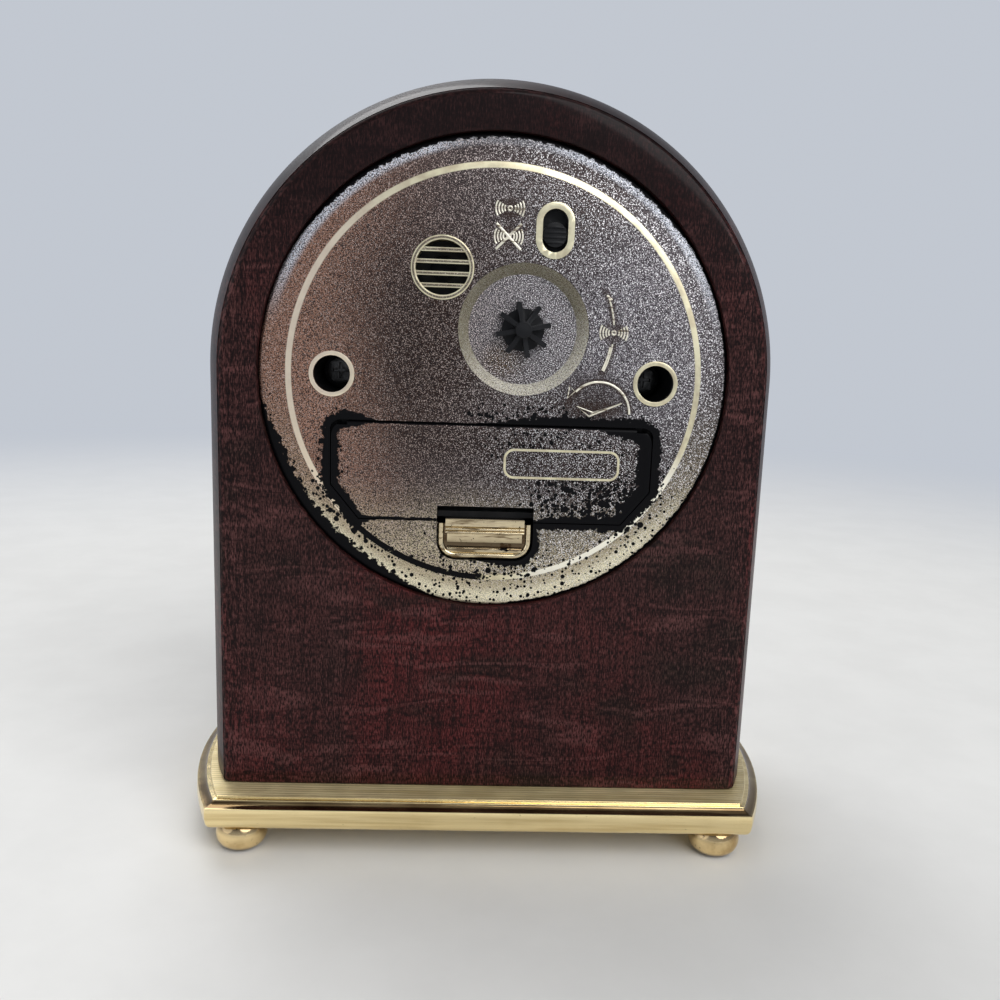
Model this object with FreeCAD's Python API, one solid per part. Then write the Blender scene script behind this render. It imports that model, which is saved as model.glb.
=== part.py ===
import FreeCAD, Part
import math
import os

# Beehive shelf clock: lacquered wood case on a brass base, with a round alarm clock insert.
# Millimetres. Origin on the floor under the middle of the case, +Z up.
# The dial looks towards -Y, and the metallised back cover towards +Y.

os.makedirs("parts", exist_ok=True)

# Case
case_depth = 50.0            # flat front face to flat back face
case_wall = 7.05             # bore to the edge of a flat face
case_bow = 6.0               # how far the sides and the arch swell between the faces
case_edge_radius = 1.4
arch_height = 82.4           # base top to the centre of the arch and of the bore
bore_gap = 0.7               # bore to the insert's back cover

# Brass base
foot_height = 6.45
base_thickness = 5.55
base_border = 5.4            # top field, beyond the case's flat faces
base_corner_border = 0.7     # top field, beyond the case's corners
base_end_bow = 6.2           # swell of the top field's ends
base_step = 0.4              # the top field stands this much above the ledge
base_ledge_width = 0.8
base_cove_width = 1.8
base_cove_height = 1.0
base_belly = 0.15            # swell of the band's side
base_lower_radius = 1.2
foot_radius = 5.4
foot_flat_radius = 2.6
foot_widest_height = 4.7
foot_top_radius = 4.6
foot_stud_radius = 1.4
foot_stud_length = 3.2
foot_inset_x = 6.2           # foot centre, in from the base's corner
foot_inset_y = 6.5
base_screw_half_spacing = 25.0
base_screw_radius = 1.7
base_screw_head_radius = 3.4
base_screw_head_height = 2.0
base_screw_length = 17.0
cross_slot_depth = 1.0
cross_slot_width = 0.6
cross_slot_share = 0.6       # of the head's radius

# Insert, front side
bezel_lap = 3.55             # how far the bezel covers the case round the bore
bezel_height = 6.6           # above the case's front face
bezel_foot_height = 1.2
bezel_round = 2.8            # width of the bezel's domed flank
bezel_wall = 1.5
bezel_skirt_length = 7.5     # inside the bore
bezel_lip = 1.6              # the lip that covers the lens edge
lens_thickness = 1.6
lens_recess = 1.0            # bezel top to the lens
lens_to_dial = 8.8
spacer_ring_width = 2.0
dial_thickness = 0.6
dial_hole_gap = 0.6
print_height = 0.15          # applied numerals and track
track_border = 2.5           # bezel's opening to the minute track
track_width = 2.2
track_line = 0.3
tick_width = 0.25
hour_tick_width = 0.8
numeral_border = 1.6         # minute track to the numerals
numeral_height = 6.4
numeral_thick = 1.0
numeral_thin = 0.4
numeral_gap = 0.75
numeral_slant = 3.0

# Insert, shells
housing_wall = 1.4
housing_front_wall = 1.4
bore_clearance = 0.35        # insert to bore
fit_clearance = 0.1          # shells that slide together
running_clearance = 0.06     # pipes and arbors
press_clearance = 0.02
boss_wall = 2.8
boss_gap = 1.8               # movement plates to the screw bosses

# Back cover
cover_skirt_length = 21.8    # outer ring down to the housing
cover_disc_rise = 0.7        # the middle disc stands above the outer ring
cover_disc_border = 0.707    # battery door's corners to the disc's edge
cover_step_width = 1.4
cover_ring_width = 4.35
cover_edge_radius = 1.4
cover_thickness = 2.1
skirt_wall = 1.5
dish_x = -5.15
dish_z = 9.25                # from the insert's centre, as all places on the cover
dish_radius = 12.3
dish_floor_radius = 10.35
dish_depth = 3.2
dish_wall = 1.2
well_room = 0.85             # round the screw's head
well_wall = 1.15
well_rim_width = 0.8
well_depth = 16.5            # disc's face to the well's outer floor
well_floor_thickness = 1.2
cover_screw_radius = 1.4
cover_screw_head_radius = 2.6
cover_screw_head_height = 1.8
cover_screw_depth = 9.0      # shank below the well's floor
rim_height = 0.3
grille_direction = 35.2      # degrees, from the dish's centre
grille_land = 1.54           # between the dish and the grille
grille_radius = 5.0
grille_rim_width = 0.8
grille_slots = 5
grille_bar = 0.75
duct_wall = 1.6
switch_x = -10.3
switch_rise = 5.85           # dish's edge to the slot's middle
switch_slot_width = 4.7
switch_slot_height = 7.8
switch_rim = 1.2
label_x = -13.4
label_z = -16.0
label_width = 22.3
label_height = 5.8
label_corner = 2.0
label_line = 0.45
label_rise = 0.2

# Battery door and bay
cell_radius = 7.25
cell_length = 50.5
cell_nub_radius = 2.75
cell_nub_length = 1.4
cell_clearance = 0.05
contact_thickness = 0.4
contact_size = 11.0
contact_dimple = 0.8
spring_length = 6.9
spring_wire = 0.8
spring_end_radius = 3.2
spring_base_radius = 5.0
bay_spare_height = 1.55      # above the cell
bay_spare_depth = 3.05       # between the cell and the door's ledge
tray_gap = 1.9               # circuit board to the tray
tray_wall = 1.2
door_top_z = -8.7
door_corner_radius = 3.0
door_chamfer_width = 5.3
door_chamfer_height = 6.5
door_thickness = 1.6
door_gap = 0.2
door_recess_corner = 2.0
door_lift_clearance = 0.1
ledge_width = 1.3
ledge_thickness = 1.5
frame_width = 1.2
tab_spacing = 18.0
tab_width = 6.0
tab_thickness = 0.9
tab_reach = 1.3              # tab's tip above the door's top edge
tab_root = 1.2
latch_x = 0.9
latch_width = 18.1
latch_grip_inset = 1.4
latch_grip_rise = 0.3        # above the door's lower edge
latch_grip_height = 2.9
latch_drop = 0.6             # door's lower edge to the latch's body
latch_body_height = 6.9
latch_corner_radius = 3.4
latch_rim = 1.1
latch_dip = 1.1
latch_ribs = 3
latch_rib_height = 0.35
latch_notch_room = 2.5       # above the grip, for its travel
latch_gap = 0.3
stem_width = 10.0
stem_thickness = 0.9
stem_reach = 6.6             # above the notch
rail_width = 1.1
rail_lip = 0.8
rail_thickness = 0.5
rail_length = 12.6
pocket_floor = 1.2
tab_sweep = 1.4              # room for the door tabs in the tray's rim

# Alarm switch
button_gap = 0.1             # to the slot's sides
button_drop = 0.7            # rest place, below the slot's middle
button_travel = 1.4
button_recess = 0.3
button_ridges = 4
button_ridge_width = 0.35
button_ridge_height = 0.25
button_ridge_share = 0.9     # of the button's chord
flange_width = 6.4
flange_below = 3.1
flange_above = 4.9
flange_thickness = 1.2
slide_gap = 0.2
guide_wall = 1.0
guide_lip = 0.8
leaf_thickness = 0.3
leaf_width = 2.4
leaf_foot_inset = 1.2        # from the circuit board's top edge

# Set knob
knob_disc_radius = 4.0
knob_disc_height = 1.0
knob_tip_radius = 5.2
knob_blades = 8
knob_blade_width = 0.9
knob_blade_height = 3.0
knob_hub_wall = 0.5
knob_height = 3.7
knob_turn = 11.0             # degrees, where the first blade stands

# Movement
plate_thickness = 1.2
middle_plate_thickness = 0.8
wheel_gap = 0.2
alarm_wheel_thickness = 0.8
wheel_thickness = 0.8
hour_wheel_thickness = 1.0
pinion_overhang = 0.1
set_wheel_gap = 0.7
cannon_pinion_overhang = 0.2
plate_gap = 0.4
train_gap = 0.4
fifth_gap = 0.5
rotor_gap = 0.6
magnet_length = 2.2
magnet_radius = 2.3
stator_thickness = 1.0
rotor_rear_gap = 2.0
plate_left = -19.0
plate_right = 24.5
plate_bottom = -19.0
plate_top = 19.0
plate_corner = 3.0
pillar_inset = 3.2
spacer_radius = 1.8
movement_screw_radius = 0.95
movement_screw_head_radius = 1.9
movement_screw_head_height = 0.9
arbor_radius = 0.5
pipe_wall = 0.69
set_arbor_radius = 1.1
pivot_radius = 0.4
backlash = 0.10
pressure_angle = 20.0
addendum_share = 0.72        # of the module
dedendum_share = 1.05
cannon_teeth = 12
set_wheel_teeth = 36
set_pinion_teeth = 10
hour_teeth = 40
alarm_teeth = 40
centre_teeth = 64
third_pinion_teeth = 8
third_teeth = 60
second_pinion_teeth = 8
second_teeth = 40
fifth_pinion_teeth = 10
fifth_teeth = 60
rotor_pinion_teeth = 8
third_distance = 8.5
third_direction = 250.0
fifth_arbor_gap = 0.374      # to the centre wheel's teeth
fifth_direction = 0.0
rotor_distance = 7.48
rotor_direction = 300.0
stator_eye_radius = 5.0
stator_hole_gap = 0.4
stator_leg_width = 3.4
stator_pillar_gap = 1.1
coil_inset = 3.9             # from the plates' edge
coil_length = 15.5
coil_radius = 2.5
bobbin_flange_radius = 2.8
bobbin_flange = 0.8
bobbin_tube = 0.4
core_width = 2.0

# Electronics
board_left = -18.0
board_right = 20.0
board_bottom = -7.5
board_top = 16.4
board_thickness = 1.0
board_hole_gap = 0.6
chip_radius = 3.0
chip_height = 0.9
chip_x = 6.0
chip_z = 4.0
crystal_radius = 1.0
crystal_length = 6.0
crystal_x = -13.0
crystal_z = -2.0
buzzer_radius = 8.0
buzzer_length = 5.0
buzzer_wall = 0.8
buzzer_sound_hole = 2.5
buzzer_gap = 0.6             # in front of the dish's back
lead_radius = 0.35
lead_spacing = 4.4
lead_inset = 1.7             # from the circuit board's top edge

# Hands
hand_thickness = 0.4
hand_gap = 0.8
second_hand_gap = 0.9
alarm_hand_gap = 2.4         # dial face to the alarm hand's back
pipe_proud = 0.2
hub_wall = 0.8
hour_hand_length = 23.0
hour_hand_width = 3.4
minute_hand_length = 33.0
minute_hand_width = 2.8
second_hand_length = 35.0
second_hand_width = 0.6
second_hand_tail = 9.0
second_cap_radius = 1.6
second_cap_height = 0.9
alarm_hand_length = 19.0
alarm_hand_width = 1.6
hour_hand_turn = 305.0       # degrees clockwise from twelve, seen from the front
minute_hand_turn = 60.0
second_hand_turn = 210.0
alarm_hand_turn = 195.0
hand_shoulder_share = 0.3    # of a hand's length, where it is widest

cut_overrun = 0.5

# Places worked out from the sizes above, the battery door first
bay_half_width = (cell_length + contact_thickness + contact_dimple + spring_length) / 2
bay_height = 2 * (cell_radius + cell_clearance) + bay_spare_height - cell_clearance
door_half_width = bay_half_width + ledge_width
door_bottom_z = door_top_z - bay_height - 2 * ledge_width
door_side_low_z = door_bottom_z + door_chamfer_height
door_low_half_width = door_half_width - door_chamfer_width
bay_top_z = door_top_z - ledge_width
bay_bottom_z = door_bottom_z + ledge_width
latch_grip_width = latch_width - 2 * latch_grip_inset
latch_grip_top_z = door_bottom_z + latch_grip_rise
latch_body_top_z = door_bottom_z - latch_drop
latch_bottom_z = latch_body_top_z - latch_body_height
latch_notch_top_z = latch_grip_top_z + latch_notch_room
stem_top_z = latch_notch_top_z + stem_reach
rail_top_z = latch_notch_top_z + rail_length

cover_disc_radius = math.hypot(door_low_half_width, door_bottom_z) + cover_disc_border
cover_radius = cover_disc_radius + cover_step_width + cover_ring_width
bore_radius = cover_radius + bore_gap

case_face_half_width = bore_radius + case_wall   # and the radius of the face's arch
case_front = -case_depth / 2
case_back = case_depth / 2
base_bottom = foot_height
base_top = foot_height + base_thickness
centre_z = base_top + arch_height
bow_radius = (case_depth ** 2 / 4 + case_bow ** 2) / (2 * case_bow)
bow_centre = case_face_half_width + case_bow - bow_radius
case_round_x = bow_centre + math.sqrt((bow_radius - case_edge_radius) ** 2
                                      - (case_back - case_edge_radius) ** 2)

field_half_depth = case_back + base_border
field_corner_x = case_face_half_width + base_corner_border
field_end_radius = (field_half_depth ** 2 + base_end_bow ** 2) / (2 * base_end_bow)
field_end_centre = field_corner_x + base_end_bow - field_end_radius
foot_x = field_corner_x + base_ledge_width + base_cove_width - foot_inset_x
foot_y = field_half_depth + base_ledge_width + base_cove_width - foot_inset_y

bezel_radius = bore_radius + bezel_lap
bezel_shoulder_radius = bezel_radius - bezel_round
bezel_front = case_front - bezel_height
lens_front = bezel_front + lens_recess
lens_back = lens_front + lens_thickness
dial_face = lens_back + lens_to_dial
housing_front = dial_face + dial_thickness
plate_front = housing_front + housing_front_wall
skirt_radius = bore_radius - bore_clearance
skirt_inner = skirt_radius - bezel_wall
lens_radius = skirt_inner - fit_clearance
bezel_opening = lens_radius - bezel_lip
track_outer_radius = bezel_opening - track_border
numeral_outer_radius = track_outer_radius - track_width - numeral_border
bezel_skirt_end = case_front + bezel_skirt_length
housing_radius = cover_radius - housing_wall / 2
housing_inner = housing_radius - housing_wall

# Movement stack, front to back
front_plate_back = plate_front + plate_thickness
alarm_wheel_front = front_plate_back + wheel_gap
alarm_wheel_back = alarm_wheel_front + alarm_wheel_thickness
hour_wheel_front = alarm_wheel_back + wheel_gap + pinion_overhang
hour_wheel_back = hour_wheel_front + hour_wheel_thickness
set_wheel_front = hour_wheel_back + set_wheel_gap
set_wheel_back = set_wheel_front + hour_wheel_thickness
cannon_pinion_front = set_wheel_front - cannon_pinion_overhang
cannon_pinion_back = set_wheel_back + cannon_pinion_overhang
middle_plate_front = set_wheel_back + plate_gap + cannon_pinion_overhang
middle_plate_back = middle_plate_front + middle_plate_thickness
centre_wheel_front = middle_plate_back + wheel_gap + pinion_overhang
centre_wheel_back = centre_wheel_front + wheel_thickness
third_wheel_front = centre_wheel_back + 2 * wheel_gap + 2 * pinion_overhang
third_wheel_back = third_wheel_front + wheel_thickness
second_wheel_front = third_wheel_back + train_gap + pinion_overhang
second_wheel_back = second_wheel_front + wheel_thickness
fifth_wheel_front = second_wheel_back + fifth_gap + pinion_overhang
fifth_wheel_back = fifth_wheel_front + wheel_thickness
magnet_front = fifth_wheel_back + rotor_gap
magnet_back = magnet_front + magnet_length
stator_front = magnet_front + (magnet_length - stator_thickness) / 2
stator_back = stator_front + stator_thickness
back_plate_front = magnet_back + rotor_rear_gap
back_plate_back = back_plate_front + plate_thickness
board_back = back_plate_back + board_thickness

# Battery bay and back cover, on from the circuit board
tray_floor_y = board_back + tray_gap
cell_y = tray_floor_y + tray_wall + cell_radius + cell_clearance
cell_z = bay_bottom_z + cell_radius + cell_clearance
positive_x = -bay_half_width + contact_thickness + contact_dimple
negative_x = positive_x + cell_length
ledge_bottom = cell_y + cell_radius + bay_spare_depth
ledge_top = ledge_bottom + ledge_thickness
door_inside = ledge_top + door_lift_clearance
cover_face = door_inside + door_thickness
cover_ring_face = cover_face - cover_disc_rise
cover_inside = cover_face - cover_thickness
housing_split = cover_ring_face - cover_skirt_length
hinge_y = cover_face - door_thickness / 2
hinge_z = door_top_z - door_thickness / 2
stem_back = ledge_bottom + door_lift_clearance
dish_floor = cover_face - dish_depth
knob_back = dish_floor + slide_gap
knob_end = knob_back + knob_height
knob_hub_radius = set_arbor_radius + knob_hub_wall
well_floor = cover_face - well_depth
well_radius = cover_screw_head_radius + well_room
well_rim_radius = well_radius + well_rim_width
boss_radius = cover_screw_radius + boss_wall
well_spacing = plate_right + boss_gap + boss_radius
grille_rim_radius = grille_radius + grille_rim_width
buzzer_back = dish_floor - dish_wall - buzzer_gap
buzzer_front = buzzer_back - buzzer_length
button_radius = switch_slot_width / 2 - button_gap
switch_z = dish_z + dish_radius + switch_rise
button_z = switch_z - button_drop
flange_top = cover_inside - slide_gap
flange_bottom = flange_top - flange_thickness
guide_bottom = flange_bottom - slide_gap - guide_lip
leaf_top = guide_bottom - leaf_thickness
leaf_foot_z = board_top - leaf_foot_inset

# Pipes of the hands, coil and stator
cannon_radius = arbor_radius + running_clearance + pipe_wall
hour_pipe_radius = cannon_radius + running_clearance + pipe_wall
alarm_pipe_radius = hour_pipe_radius + running_clearance + pipe_wall
dial_hole_radius = alarm_pipe_radius + dial_hole_gap
coil_x = plate_right - coil_inset
coil_low_z = plate_bottom + pillar_inset + spacer_radius + stator_pillar_gap + stator_leg_width
coil_high_z = coil_low_z + coil_length

# Hands, back to front
alarm_hand_back = dial_face - alarm_hand_gap
alarm_hand_front = alarm_hand_back - hand_thickness
hour_hand_back = alarm_hand_front - hand_gap
hour_hand_front = hour_hand_back - hand_thickness
minute_hand_back = hour_hand_front - hand_gap
minute_hand_front = minute_hand_back - hand_thickness
second_hand_back = minute_hand_front - second_hand_gap
second_hand_front = second_hand_back - hand_thickness

# Axes of the movement, as (x, z) from the insert's centre
centre_axis = (0, 0)
set_axis = (dish_x, dish_z)


def polar(start, distance, degrees):
    turn = math.radians(degrees)
    return (start[0] + distance * math.cos(turn), start[1] + distance * math.sin(turn))


def spacing(first, second):
    return math.hypot(second[0] - first[0], second[1] - first[1])


# Modules of the meshing pairs, from their distance and teeth
motion_module = 2 * spacing(centre_axis, set_axis) / (cannon_teeth + set_wheel_teeth)
hour_module = 2 * spacing(centre_axis, set_axis) / (set_pinion_teeth + hour_teeth)
centre_module = 2 * third_distance / (centre_teeth + third_pinion_teeth)
third_module = 2 * third_distance / (third_teeth + second_pinion_teeth)
fifth_distance = centre_module * (centre_teeth / 2 + addendum_share) + arbor_radius + fifth_arbor_gap
second_module = 2 * fifth_distance / (second_teeth + fifth_pinion_teeth)
fifth_module = 2 * rotor_distance / (fifth_teeth + rotor_pinion_teeth)

third_axis = polar(centre_axis, third_distance, third_direction)
fifth_axis = polar(centre_axis, fifth_distance, fifth_direction)
rotor_axis = polar(fifth_axis, rotor_distance, rotor_direction)
grille_axis = polar(set_axis, dish_radius + grille_land + grille_radius, grille_direction)
well_axes = [(-well_spacing, 0), (well_spacing, 0)]
pillar_axes = [(x, z)
               for x in (plate_left + pillar_inset, plate_right - pillar_inset)
               for z in (plate_bottom + pillar_inset, plate_top - pillar_inset)]


def on_insert(x, y, z):
    """A point given from the insert's centre."""
    return FreeCAD.Vector(x, y, z + centre_z)


def closed_wire(path, place):
    """A closed wire: plain points are joined by lines, and a pair of points is an arc's middle and end."""
    edges = []
    here = path[0]
    for step in list(path[1:]) + [path[0]]:
        if isinstance(step[0], tuple):
            edges.append(Part.Arc(place(*here), place(*step[0]), place(*step[1])).toShape())
            here = step[1]
        elif math.dist(here, step) > 0:
            edges.append(Part.makeLine(place(*here), place(*step)))
            here = step
    return Part.Wire(edges)


def slab(path, low_y, high_y):
    """An outline in the insert's X and Z, extruded along Y."""
    wire = closed_wire(path, lambda x, z: on_insert(x, low_y, z))
    return Part.Face(wire).extrude(FreeCAD.Vector(0, high_y - low_y, 0))


def box(low, high):
    """A box between two corners given from the insert's centre."""
    sides = [b - a for a, b in zip(low, high)]
    return Part.makeBox(*sides, on_insert(*low))


def rod(radius, low_y, high_y, axis=(0, 0)):
    """A cylinder along Y."""
    return Part.makeCylinder(radius, high_y - low_y, on_insert(axis[0], low_y, axis[1]),
                             FreeCAD.Vector(0, 1, 0))


def pipe(outer, inner, low_y, high_y, axis=(0, 0)):
    return rod(outer, low_y, high_y, axis).cut(rod(inner, low_y, high_y, axis))


def turned(path, axis=(0, 0)):
    """A half outline of radius and Y, turned about an axis along Y."""
    face = Part.Face(closed_wire(path, lambda r, y: on_insert(r, y, 0)))
    solid = face.revolve(on_insert(0, 0, 0), FreeCAD.Vector(0, 1, 0), 360)
    solid.translate(FreeCAD.Vector(axis[0], 0, axis[1]))
    return solid


def rounded(points, radii):
    """A polygon's path with its corners rounded."""
    path = []
    count = len(points)
    for i, corner in enumerate(points):
        if radii[i] == 0:
            path.append(corner)
            continue
        before, after = points[i - 1], points[(i + 1) % count]
        to_before = unit(corner, before)
        to_after = unit(corner, after)
        half = math.acos(to_before[0] * to_after[0] + to_before[1] * to_after[1]) / 2
        reach = radii[i] / math.tan(half)
        start = (corner[0] + to_before[0] * reach, corner[1] + to_before[1] * reach)
        end = (corner[0] + to_after[0] * reach, corner[1] + to_after[1] * reach)
        bisector = unit((0, 0), (to_before[0] + to_after[0], to_before[1] + to_after[1]))
        depth = radii[i] / math.sin(half) - radii[i]
        middle = (corner[0] + bisector[0] * depth, corner[1] + bisector[1] * depth)
        path += [start, (middle, end)]
    return path


def unit(start, end):
    length = math.dist(start, end)
    return ((end[0] - start[0]) / length, (end[1] - start[1]) / length)


def grown(points, amount):
    """A convex polygon, listed anticlockwise, with every side moved outwards."""
    moved = []
    count = len(points)
    for i in range(count):
        along_in = unit(points[i - 1], points[i])
        along_out = unit(points[i], points[(i + 1) % count])
        normal_in = (along_in[1], -along_in[0])
        normal_out = (along_out[1], -along_out[0])
        share = amount / (1 + normal_in[0] * normal_out[0] + normal_in[1] * normal_out[1])
        moved.append((points[i][0] + (normal_in[0] + normal_out[0]) * share,
                      points[i][1] + (normal_in[1] + normal_out[1]) * share))
    return moved


def rectangle(x0, x1, z0, z1, corner=0):
    return rounded([(x0, z0), (x1, z0), (x1, z1), (x0, z1)], [corner] * 4)


def stadium(x, z, width, height):
    """An upright slot's outline with round ends."""
    r = width / 2
    low, high = z - height / 2 + r, z + height / 2 - r
    return [(x + r, low), (x + r, high), ((x, high + r), (x - r, high)), (x - r, low),
            ((x, low - r), (x + r, low))]


def gear(teeth, module, low_y, high_y, axis, phase):
    """An involute spur gear with a tooth centred on the angle phase."""
    pitch_r = teeth * module / 2
    pressure = math.radians(pressure_angle)
    base_r = pitch_r * math.cos(pressure)
    tip_r = pitch_r + addendum_share * module
    root_r = pitch_r - dedendum_share * module
    half_pitch = math.pi / (2 * teeth) - backlash / (4 * pitch_r)

    def half_tooth(radius):
        if radius <= base_r:
            return half_pitch + math.tan(pressure) - pressure
        angle = math.acos(base_r / radius)
        return half_pitch + math.tan(pressure) - pressure - (math.tan(angle) - angle)

    radii = [root_r, max(root_r, base_r), pitch_r, tip_r]
    if radii[1] == root_r:
        radii = radii[1:]
    points = []
    for tooth in range(teeth):
        middle = phase + tooth * 2 * math.pi / teeth
        flank = [(middle - half_tooth(r), r) for r in radii]
        flank += [(middle + half_tooth(r), r) for r in reversed(radii)]
        points += [on_insert(axis[0] + r * math.cos(a), low_y, axis[1] + r * math.sin(a)) for a, r in flank]
    face = Part.Face(Part.makePolygon(points + points[:1]))
    return face.extrude(FreeCAD.Vector(0, high_y - low_y, 0))


def mesh_phase(axis_a, teeth_a, phase_a, axis_b, teeth_b):
    """The phase that puts a gap of gear b where gear a has a tooth."""
    line = math.atan2(axis_b[1] - axis_a[1], axis_b[0] - axis_a[0])
    share_a = (line - phase_a) * teeth_a / (2 * math.pi)
    return line + math.pi - (0.5 - share_a) * 2 * math.pi / teeth_b


def cross_slot(size, floor_y, open_y, axis):
    """A cross recess in a screw head that faces +Y."""
    half = cross_slot_width / 2
    x, z = axis
    upright = box((x - half, floor_y, z - size), (x + half, open_y, z + size))
    level = box((x - size, floor_y, z - half), (x + size, open_y, z + half))
    return upright.fuse(level)


def save(name, shape):
    shape.exportStep("parts/" + name + ".step")
    print(name, len(shape.Solids), round(shape.Volume, 3), shape.isValid())


# Wood case and base

def bow_path(side):
    """Half the case's plan on one side: the rim radius, the bow and the other rim radius."""
    fillet_y = case_back - case_edge_radius
    lean = math.atan2(fillet_y, case_round_x - bow_centre)
    on_bow = (bow_centre + bow_radius * math.cos(lean), bow_radius * math.sin(lean))
    turn = (lean + math.pi / 2) / 2
    on_rim = (case_round_x + case_edge_radius * math.cos(turn), fillet_y + case_edge_radius * math.sin(turn))
    widest = (bow_centre + bow_radius, 0)
    return [(side * case_round_x, case_front),
            ((side * on_rim[0], -on_rim[1]), (side * on_bow[0], -on_bow[1])),
            ((side * widest[0], widest[1]), (side * on_bow[0], on_bow[1])),
            ((side * on_rim[0], on_rim[1]), (side * case_round_x, case_back))]


def mirrored(path):
    """A path walked the other way."""
    ends = [step[1] if isinstance(step[0], tuple) else step for step in path]
    back = [ends[-1]]
    for i in range(len(path) - 1, 0, -1):
        step = path[i]
        back.append((step[0], ends[i - 1]) if isinstance(step[0], tuple) else ends[i - 1])
    return back


def wood_case():
    right = bow_path(1)
    left = mirrored(bow_path(-1))
    plan = closed_wire(right + left, lambda x, y: FreeCAD.Vector(x, y, base_top))
    lower = Part.Face(plan).extrude(FreeCAD.Vector(0, 0, arch_height))
    arch_path = [(0, case_front)] + right + [(0, case_back)]
    arch_face = Part.Face(closed_wire(arch_path, lambda r, y: FreeCAD.Vector(r, y, centre_z)))
    arch = arch_face.revolve(FreeCAD.Vector(0, 0, centre_z), FreeCAD.Vector(0, 1, 0), -180)
    case = lower.fuse(arch).removeSplitter()
    case = case.cut(rod(bore_radius, case_front - cut_overrun, case_back + cut_overrun))
    for x in (-base_screw_half_spacing, base_screw_half_spacing):
        depth = base_bottom + base_screw_length + fit_clearance - base_top
        case = case.cut(Part.makeCylinder(base_screw_radius, depth, FreeCAD.Vector(x, 0, base_top)))
    return case


def base_wire(out, z):
    """The base's plan, this far outside its top field."""
    half_depth = field_half_depth + out
    radius = field_end_radius + out
    corner = field_end_centre + math.sqrt(radius ** 2 - half_depth ** 2)
    end = field_end_centre + radius
    path = [(-corner, -half_depth), (corner, -half_depth), ((end, 0), (corner, half_depth)),
            (-corner, half_depth), ((-end, 0), (-corner, -half_depth))]
    return closed_wire(path, lambda x, y: FreeCAD.Vector(x, y, z))


def base_profile():
    """Offsets and heights down the base's edge: ledge, cove, belly and lower rounding."""
    steps = 5
    ledge_z = base_top - base_step
    cove_low = ledge_z - base_cove_height
    edge = base_ledge_width + base_cove_width
    profile = []
    for i in range(steps + 1):
        turn = i / steps * math.pi / 2
        profile.append((base_ledge_width + base_cove_width * (1 - math.cos(turn)),
                        ledge_z - base_cove_height * math.sin(turn)))
    straight_low = base_bottom + base_lower_radius
    for i in range(1, steps):
        share = i / steps
        swell = 4 * base_belly * share * (1 - share)
        profile.append((edge + swell, cove_low + (straight_low - cove_low) * share))
    for i in range(steps + 1):
        turn = i / steps * math.pi / 2
        profile.append((edge - base_lower_radius * (1 - math.cos(turn)),
                        straight_low - base_lower_radius * math.sin(turn)))
    return profile


def brass_base():
    wires = [base_wire(out, z) for out, z in base_profile()]
    base = Part.makeLoft(wires, True, True)
    field = Part.Face(base_wire(0, base_top - base_step)).extrude(FreeCAD.Vector(0, 0, base_step))
    base = base.fuse(field)
    for x in (-base_screw_half_spacing, base_screw_half_spacing):
        at = FreeCAD.Vector(x, 0, base_bottom)
        base = base.cut(Part.makeCylinder(base_screw_radius + fit_clearance, base_thickness, at))
        head = Part.makeCone(base_screw_head_radius + fit_clearance, base_screw_radius + fit_clearance,
                             base_screw_head_height, at)
        base = base.cut(head)
    for x in (-foot_x, foot_x):
        for y in (-foot_y, foot_y):
            hole = Part.makeCylinder(foot_stud_radius + fit_clearance, foot_stud_length + fit_clearance,
                                     FreeCAD.Vector(x, y, base_bottom))
            base = base.cut(hole)
    return base


def bun_feet():
    low_turn = math.pi / 4
    low_middle = (foot_flat_radius + (foot_radius - foot_flat_radius) * math.sin(low_turn),
                  foot_widest_height * (1 - math.cos(low_turn)))
    high_middle = (foot_top_radius + (foot_radius - foot_top_radius) * math.cos(low_turn),
                   foot_widest_height + (foot_height - foot_widest_height) * math.sin(low_turn))
    path = [(0, 0), (foot_flat_radius, 0), (low_middle, (foot_radius, foot_widest_height)),
            (high_middle, (foot_top_radius, foot_height)), (foot_stud_radius, foot_height),
            (foot_stud_radius, foot_height + foot_stud_length), (0, foot_height + foot_stud_length)]
    feet = []
    for x in (-foot_x, foot_x):
        for y in (-foot_y, foot_y):
            face = Part.Face(closed_wire(path, lambda r, z: FreeCAD.Vector(x + r, y, z)))
            feet.append(face.revolve(FreeCAD.Vector(x, y, 0), FreeCAD.Vector(0, 0, 1), 360))
    return Part.makeCompound(feet)


def base_screws():
    screws = []
    half = cross_slot_width / 2
    reach = base_screw_head_radius - fit_clearance - cross_slot_width
    for x in (-base_screw_half_spacing, base_screw_half_spacing):
        at = FreeCAD.Vector(x, 0, base_bottom)
        screw = Part.makeCylinder(base_screw_radius - press_clearance, base_screw_length, at)
        head = Part.makeCone(base_screw_head_radius, base_screw_radius, base_screw_head_height, at)
        screw = screw.fuse(head)
        for wide, deep in ((reach, half), (half, reach)):
            corner = FreeCAD.Vector(x - wide, -deep, base_bottom)
            slot = Part.makeBox(2 * wide, 2 * deep, cross_slot_depth, corner)
            screw = screw.cut(slot)
        screws.append(screw)
    return Part.makeCompound(screws)


# Front of the insert

def bezel():
    dome_turn = math.pi / 4
    dome_r = bezel_radius - bezel_shoulder_radius
    dome_y = bezel_height - bezel_foot_height
    dome_middle = (bezel_shoulder_radius + dome_r * math.cos(dome_turn),
                   case_front - bezel_foot_height - dome_y * math.sin(dome_turn))
    path = [(bezel_radius, case_front), (bezel_radius, case_front - bezel_foot_height),
            (dome_middle, (bezel_shoulder_radius, bezel_front)),
            (lens_radius, bezel_front),
            (bezel_opening, lens_front - lens_recess / 3),
            (bezel_opening, lens_front), (skirt_inner, lens_front),
            (skirt_inner, bezel_skirt_end), (skirt_radius, bezel_skirt_end), (skirt_radius, case_front)]
    return turned(path)


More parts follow.
